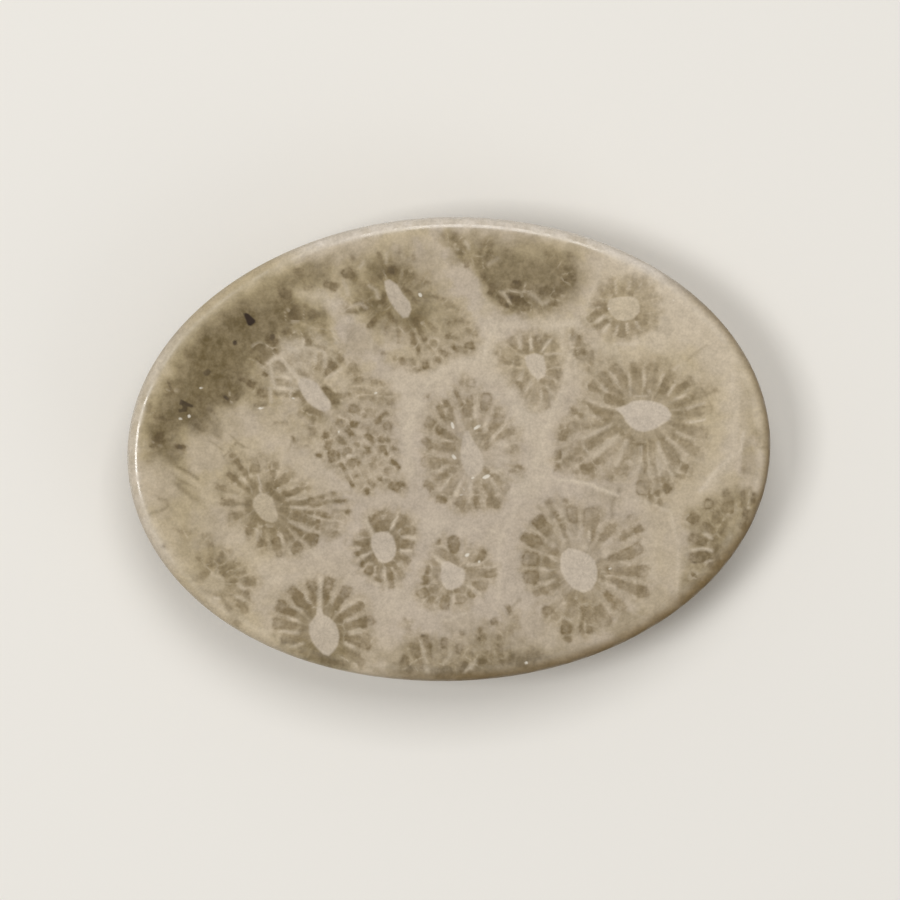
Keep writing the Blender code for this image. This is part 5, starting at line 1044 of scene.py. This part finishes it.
# Painted highlights: each glint is a white spot laid into the colour, standing in for light caught by a
# quartz face
PAINTED_GLINTS = (
    (0.16, 1.54, 0.44, 0.17, -72), (0.25, -0.44, 0.4, 0.19, -50), (1.7, 1.43, 0.5, 0.17, 35),
    (2.27, -1.68, 0.5, 0.22, 25), (1.43, -1.75, 0.2, 0.14, 10), (0.7, -2.8, 0.24, 0.08, 10),
    (0.86, -2.42, 0.26, 0.07, -60), (-1.86, 9.7, 0.3, 0.2, -60), (-16.3, 2.15, 0.2, 0.22, 0),
    (-16.85, 2, 0.24, 0.14, -10), (-15.55, 3.92, 0.24, 0.1, 10), (-11.8, 2.65, 0.4, 0.1, 10),
    (-4.65, 3.58, 0.2, 0.14, 20), (-6.95, 1.15, 0.12, 0.2, 0), (4.78, -13.35, 0.22, 0.18, 0),
    (1.07, -6.58, 0.3, 0.2, 30), (1.82, -7, 0.2, 0.14, 60), (-10.75, -2.35, 0.16, 0.07, 25),
    (10.05, -7.45, 0.24, 0.1, 10), (-9.8, 3.25, 0.24, 0.1, -10), (9.95, 8.8, 0.14, 0.12, 0),
    (14, 9.35, 0.1, 0.1, 0),
)

LINE_SOFTNESS = 0.04     # how far a line's colour spreads beyond its half width, in mm
BACK_DEPTH = 0.01        # glints lie on the back, no deeper than this


def line_strength(lines):
    """How squarely each place lies on any of the drawn lines, from 0 to 1."""
    strongest = np.zeros(len(x))
    for half_width, strength, route in lines:
        for start, end in zip(route, route[1:]):
            off = route_distance(x, y, *start, *end)
            strongest = np.maximum(strongest, strength * np.exp(-(off / (half_width + LINE_SOFTNESS)) ** 2))
    return strongest


def oval_distance(x, y, length, width, lean):
    """About how far a place is from an oval's edge, negative inside.

    With the place scaled by the half axes, k, and by their squares, m, it is |k| * (|k| - 1) / |m|.
    """
    c, s = np.cos(np.radians(lean)), np.sin(np.radians(lean))
    along, across = (x * c + y * s) / (length / 2), (y * c - x * s) / (width / 2)
    k = np.hypot(along, across)
    m = np.hypot(along / (length / 2), across / (width / 2)) + 1e-6
    return k * (k - 1) / m


seam = line_strength(SEAMS)
crack = line_strength(CRACKS)
off_back = np.where(depth < BACK_DEPTH, 0.0, FAR)
painted_glint_edge = np.full(len(x), FAR)
for at_x, at_y, length, width, lean in PAINTED_GLINTS:
    distance = oval_distance(plan_x - at_x, plan_y - at_y, length, width, lean) + off_back
    painted_glint_edge = np.minimum(painted_glint_edge, distance)


# The stone: the skin as one mesh in place of the plain cabochon, with all its marks stored on its points,
# three to an attribute
mesh = bpy.data.meshes.new("polished_coral_stone")
mesh.from_pydata((points * MM).tolist(), [], faces.tolist())
mesh.update()
mesh.shade_smooth()
for name, values in (
    ("chambers", (first_edge, second_edge, chamber_tone)),
    ("spots", (spot_edge, spot_tone, painted_glint_edge)),
    ("cup", (cup_x, cup_y, core_edge)),
    ("browning", (halo, stain, rim_stain_and_shade)),
    ("clouding", (warm, cloud, seam - crack)),
    ("stems", (stem_edge, stem_tone, pale)),
    ("cores", (core_clear, nearest, rim_share)),
    ("edges", (bevel_highlight_share, matt, core_yellow)),
):
    layer = mesh.attributes.new(name, "FLOAT_VECTOR", "POINT")
    layer.data.foreach_set("vector", np.stack(values, axis=1).astype(np.float32).ravel())
stone = bpy.data.objects.new("polished_coral_stone", mesh)
bpy.context.collection.objects.link(stone)
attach(stone, "root")
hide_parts("cabochon")


# The finish: coral whose chambers filled with chalcedony and whose walls turned to paler stone, lapped
# and polished to a soft gloss. The walls and cores look like warm ivory, the chambers like smoked
# glass over brown, and a fine grain runs through all of it.
def srgb(code):
    """A hex colour as linear red, green and blue with full alpha."""
    parts = np.array([int(code[place:place + 2], 16) for place in (1, 3, 5)]) / 255
    linear = np.where(parts <= 0.04045, parts / 12.92, ((parts + 0.055) / 1.055) ** 2.4)
    return (*linear, 1.0)


def add_node(tree, kind, inputs=None, **settings):
    """Adds a node, makes its settings, and gives each named input a value or a link."""
    new = tree.nodes.new(kind)
    for key, value in settings.items():
        setattr(new, key, value)
    for key, value in (inputs or {}).items():
        if isinstance(value, bpy.types.NodeSocket):
            tree.links.new(value, new.inputs[key])
        else:
            new.inputs[key].default_value = value
    return new


PINK_IVORY = srgb("#b8aa98")
YELLOW_IVORY = srgb("#b9a98a")
PALE_IVORY = srgb("#c5b7a2")
MILK = srgb("#c4b7a3")
CORE = srgb("#c1b4a3")
YELLOW_CORE = srgb("#bfb096")
HALO_BROWN = srgb("#7d6d50")
GAP_BROWN = srgb("#998869")
CHAMBER_BROWN = srgb("#796747")
IRON_BROWN = srgb("#4f3e1e")
DARK_BROWN = srgb("#2b1b0c")
STAIN_OLIVE = srgb("#6c5a1c")
STAIN_BROWN = srgb("#58471e")
RIM_STAIN_AND_SHADE_BROWN = srgb("#715c36")
BEVEL_HIGHLIGHT_PALE = srgb("#d2c8bb")
SEAM_PALE = srgb("#cabca7")
PAINTED_GLINT_WHITE = srgb("#efe9dc")
QUARTZ_IOR = 1.54
POLISH_DEPTH = 0.02     # how deep the fine unevenness of the polish is, in mm

finish = bpy.data.materials.new("polished_fossil_coral")
finish.use_nodes = True
tree = finish.node_tree
shader = tree.nodes["Principled BSDF"]


def vector_maths(operation, inputs, output=0):
    """One sum of vectors."""
    return add_node(tree, "ShaderNodeVectorMath", inputs, operation=operation).outputs[output]


place = add_node(tree, "ShaderNodeTexCoord").outputs["Object"]
in_mm = vector_maths("SCALE", {0: place, "Scale": 1 / MM})


def attribute_parts(name):
    """The three channels of one of the stone's own attributes."""
    vector = add_node(tree, "ShaderNodeAttribute", attribute_name=name).outputs["Vector"]
    return add_node(tree, "ShaderNodeSeparateXYZ", {0: vector}).outputs


def fuzz(size, detail, source=in_mm):
    """Soft noise between 0 and 1 whose spots are about size mm across."""
    inputs = {"Vector": source, "Scale": 1 / size, "Detail": detail}
    return add_node(tree, "ShaderNodeTexNoise", inputs).outputs[0]


def ramp(value, start, end, low=0.0, high=1.0):
    """An even curve from low at start to high at end."""
    inputs = {"Value": value, "From Min": start, "From Max": end, "To Min": low, "To Max": high}
    return add_node(tree, "ShaderNodeMapRange", inputs, interpolation_type="SMOOTHSTEP").outputs[0]


def vary(noise, low, high, spread=0.2):
    """An even curve from low to high as a noise goes from spread below its middle to spread above."""
    return ramp(noise, 0.5 - spread, 0.5 + spread, low, high)


def maths(operation, a, b=0.0, c=0.0, clamp=False):
    """One sum of two or three values."""
    node = add_node(tree, "ShaderNodeMath", {0: a, 1: b, 2: c}, operation=operation, use_clamp=clamp)
    return node.outputs[0]


def product(first, *others, clamp=False):
    """All the values multiplied together, from left to right."""
    for other in others:
        first = maths("MULTIPLY", first, other, clamp=clamp)
    return first


def blend(share, below, above):
    """Lays one colour over another by its share; the mix node's colours are its inputs 6 and 7."""
    return add_node(tree, "ShaderNodeMix", {"Factor": share, 6: below, 7: above}, data_type="RGBA").outputs[2]


edge, next_edge, tone = attribute_parts("chambers")
spot, spot_depth, painted_glint = attribute_parts("spots")
ray_x, ray_y, core = attribute_parts("cup")
haloed, stained, rim_stain_and_shade_depth = attribute_parts("browning")
warmth, milky, line = attribute_parts("clouding")
stem, stem_depth, paler = attribute_parts("stems")
core_strength, from_cup, rim = attribute_parts("cores")
bevel_highlight, unpolished, yellow = attribute_parts("edges")

# Unevenness of four sizes in mm, each finer than the one before
broad = fuzz(2.6, 1.5)
patchy = fuzz(1.1, 2.0)
mottle = fuzz(0.36, 3.0)
speckle = fuzz(0.15, 2.0)

# Thin radial walls: noise read by direction from the cup's middle, so it streaks outwards
RAYS_ROUND = 6.0        # how finely the noise changes around a cup
RAYS_OUT = 0.6          # and how finely along its radius
rays = add_node(tree, "ShaderNodeCombineXYZ", {0: ray_x, 1: ray_y, 2: 0.0}).outputs[0]
towards = vector_maths("NORMALIZE", {0: rays})
length = vector_maths("LENGTH", {0: rays}, "Value")
around = vector_maths("SCALE", {0: towards, "Scale": RAYS_ROUND})
lifted = add_node(tree, "ShaderNodeCombineXYZ", {2: product(length, RAYS_OUT)}).outputs[0]
fan = vector_maths("ADD", {0: around, 1: lifted})
streak = ramp(fuzz(1.0, 2.0, fan), 0.3, 0.7)

# Chambers end softly, are darker or paler in spots, and leave pale walls and brownish gaps between them.
# Each of these is where a colour begins and where it is full, in mm outside an edge.
CHAMBER_EDGE, CHAMBER_BLUR = (0.06, -0.1), (0.2, -0.02)
EDGE_SHARE, BLUR_SHARE = 0.6, 0.4
EDGE_RAGGED = 0.14
STEM_EDGE = (0.12, -0.1)
GAP_EDGE = (0.75, 0.16)
WALL_EDGE, WALL_INNER, WALL_MIDDLE = (0.4, 0.12), (0.0, 0.06), (0.16, 0.03)
CORE_EDGE, CORE_RIM_OUTER, CORE_RIM_INNER = (0.08, -0.12), (0.05, -0.03), (-0.2, -0.06)
SPOT_EDGE = (0.06, -0.07)
PAINTED_GLINT_EDGE = (0.05, -0.05)

stray = maths("MULTIPLY_ADD", maths("SUBTRACT", mottle, 0.5), EDGE_RAGGED, edge)
blurred = product(ramp(stray, *CHAMBER_BLUR), BLUR_SHARE)
inside = maths("MULTIPLY_ADD", ramp(stray, *CHAMBER_EDGE), EDGE_SHARE, blurred)
chamber = product(inside, product(tone, vary(mottle, 1.3, 0.65, 0.25)), clamp=True)
stem_share = product(stem_depth, ramp(streak, 0, 1, 1.0, 0.8), ramp(stem, *STEM_EDGE))
midway = product(ramp(maths("SUBTRACT", next_edge, edge), *WALL_MIDDLE), ramp(edge, *WALL_INNER))
wall = product(ramp(next_edge, *WALL_EDGE), midway, vary(patchy, 0.3, 1.0))
gap = product(ramp(next_edge, *GAP_EDGE), vary(mottle, 0.55, 0.3))
halo_depth = product(haloed, maths("MULTIPLY_ADD", streak, -0.15, 1.0))
stain_depth = product(stained, vary(mottle, 1.1, 0.88, 0.25), clamp=True)
core_share = product(ramp(core, *CORE_EDGE), core_strength)
core_rim = product(ramp(core, *CORE_RIM_INNER), ramp(core, *CORE_RIM_OUTER))
core_rim_share = product(core_strength, vary(patchy, 0.0, 0.3, 0.15), core_rim)

# The colours, laid over one another from the ivory up to the darkened rim, partly painted shade, and the
# painted highlight on the bevel
PALE_SHARE = 0.85
WALL_SHARE = 0.35
PAINTED_GLINT_SHARE = 0.65
yellowed = maths("ADD", warmth, vary(broad, -0.1, 0.1), clamp=True)
colour = blend(yellowed, PINK_IVORY, YELLOW_IVORY)
colour = blend(product(milky, vary(patchy, 0.5, 1.0)), colour, MILK)
colour = blend(product(paler, PALE_SHARE), colour, PALE_IVORY)
colour = blend(gap, colour, GAP_BROWN)
colour = blend(stem_share, colour, HALO_BROWN)
colour = blend(halo_depth, colour, HALO_BROWN)
colour = blend(stain_depth, colour, blend(ramp(stained, 0.2, 0.75), STAIN_OLIVE, STAIN_BROWN))
colour = blend(chamber, colour, blend(stained, CHAMBER_BROWN, IRON_BROWN))
colour = blend(product(wall, WALL_SHARE), colour, SEAM_PALE)
colour = blend(maths("MAXIMUM", line, 0.0), colour, SEAM_PALE)
colour = blend(product(ramp(spot, *SPOT_EDGE), spot_depth), colour, DARK_BROWN)
colour = blend(core_share, colour, blend(yellow, CORE, YELLOW_CORE))
colour = blend(core_rim_share, colour, SEAM_PALE)
colour = blend(product(line, -1.0, clamp=True), colour, STAIN_BROWN)
# partly painted shade: the brown band along the lower edge and right end, partly stain and partly shade of
# the bevel
colour = blend(rim_stain_and_shade_depth, colour, RIM_STAIN_AND_SHADE_BROWN)
# painted highlight: a pale colour on the bevel at the left and along the top, where it faces the lamps
colour = blend(product(bevel_highlight, vary(patchy, 0.65, 1.0)), colour, BEVEL_HIGHLIGHT_PALE)

# The grain, which makes all of it a little lighter and darker, and over it the glints, painted highlights in
# white
RAYED_REACH = (4.4, 2.2)   # how far from a cup's middle its rays show, in mm
rayed = product(ramp(from_cup, *RAYED_REACH), ramp(streak, 0, 1, -0.035, 0.045))
fine = maths("ADD", maths("ADD", rayed, vary(speckle, -0.09, 0.09, 0.3)), vary(mottle, -0.07, 0.07, 0.3))
grain = maths("ADD", fine, vary(patchy, 0.95, 1.05, 0.25))
grained = vector_maths("SCALE", {0: colour, "Scale": grain})
# painted highlight: the glints whiten the colour itself
colour = blend(ramp(painted_glint, *PAINTED_GLINT_EDGE, high=PAINTED_GLINT_SHARE), grained, PAINTED_GLINT_WHITE)
tree.links.new(colour, shader.inputs["Base Color"])

# The polish: glossy on the back, a little duller over the chambers, worn in spots on the rim
CHAMBER_DULLNESS = 0.05
RIM_DULLNESS = 0.35
worn = maths("MULTIPLY_ADD", rim, vary(patchy, 0.0, 0.25, 0.06), vary(patchy, 0.15, 0.21, 0.3))
rim_gloss = maths("MULTIPLY_ADD", unpolished, RIM_DULLNESS, worn)
gloss = maths("MULTIPLY_ADD", chamber, CHAMBER_DULLNESS, rim_gloss)
tree.links.new(gloss, shader.inputs["Roughness"])
bump = add_node(tree, "ShaderNodeBump", {"Strength": 0.25, "Distance": POLISH_DEPTH * MM, "Height": mottle})
tree.links.new(bump.outputs[0], shader.inputs["Normal"])
shader.inputs["IOR"].default_value = QUARTZ_IOR
mesh.materials.append(finish)


# The stage: a plain pale table, with soft studio lamps at the left, beyond the top edge and at the lower
# right
TABLE_HALF = 1.5
TABLE_CORNERS = [(-TABLE_HALF, -TABLE_HALF, 0), (TABLE_HALF, -TABLE_HALF, 0),
                 (TABLE_HALF, TABLE_HALF, 0), (-TABLE_HALF, TABLE_HALF, 0)]
STUDIO_LIGHT = 0.41

table = bpy.data.meshes.new("table")
table.from_pydata(TABLE_CORNERS, [], [(0, 1, 2, 3)])
floor = bpy.data.objects.new("table", table)
bpy.context.collection.objects.link(floor)
paper = bpy.data.materials.new("pale_paper")
paper.use_nodes = True
paper_shader = paper.node_tree.nodes["Principled BSDF"]
paper_shader.inputs["Base Color"].default_value = srgb("#ebe8e2")
paper_shader.inputs["Roughness"].default_value = 0.8
table.materials.append(paper)

world = bpy.data.worlds.new("studio")
bpy.context.scene.world = world
world.use_nodes = True
background = world.node_tree.nodes["Background"]
background.inputs["Color"].default_value = srgb("#e4e2de")
background.inputs["Strength"].default_value = STUDIO_LIGHT


def add_lamp(name, direction, elevation, distance, size, power):
    """A square soft lamp at a direction and elevation in degrees, aimed at the stone.

    Its distance and size are in metres and its power is in watts.
    """
    flat, up = np.radians(direction), np.radians(elevation)
    lamp = bpy.data.lights.new(name, "AREA")
    lamp.size = size
    lamp.energy = power
    holder = bpy.data.objects.new(name, lamp)
    bpy.context.collection.objects.link(holder)
    holder.location = (distance * np.cos(up) * np.cos(flat), distance * np.cos(up) * np.sin(flat),
                       distance * np.sin(up))
    holder.rotation_euler = (np.radians(90) - up, 0, flat + np.radians(90))


add_lamp("left_lamp", direction=182, elevation=66, distance=0.7, size=0.19, power=1.7)
add_lamp("top_lamp", direction=88, elevation=66, distance=0.7, size=0.32, power=1.75)
add_lamp("fill_lamp", direction=-40, elevation=35, distance=0.9, size=0.5, power=0.6)


# The camera looks almost straight down, as at a stone on a table
CAMERA_DISTANCE = 0.60
CAMERA_TILT = 4.0       # degrees away from straight above, and towards which side
CAMERA_SIDE = 135.0
SENSOR_WIDTH = 36
FRAME_PIXELS = 900
PIXELS_PER_MM = 16.0

camera_data = bpy.data.cameras.new("camera")
camera_data.sensor_width = SENSOR_WIDTH
camera_data.lens = SENSOR_WIDTH * CAMERA_DISTANCE / (FRAME_PIXELS / PIXELS_PER_MM * MM)
camera_data.clip_start = 0.01
camera = bpy.data.objects.new("camera", camera_data)
bpy.context.collection.objects.link(camera)
tilt, side = np.radians(CAMERA_TILT), np.radians(CAMERA_SIDE)
lens_way = np.array([np.sin(tilt) * np.cos(side), np.sin(tilt) * np.sin(side), np.cos(tilt)])
camera.location = lens_way * CAMERA_DISTANCE + np.array([0, 0, THICKNESS * MM])
right = np.cross([0, 1, 0], lens_way)
right /= np.linalg.norm(right)
up = np.cross(lens_way, right)
camera.rotation_euler = Matrix(np.stack([right, up, lens_way], axis=1).tolist()).to_euler()
bpy.context.scene.camera = camera
bpy.context.scene.view_settings.view_transform = "Standard"
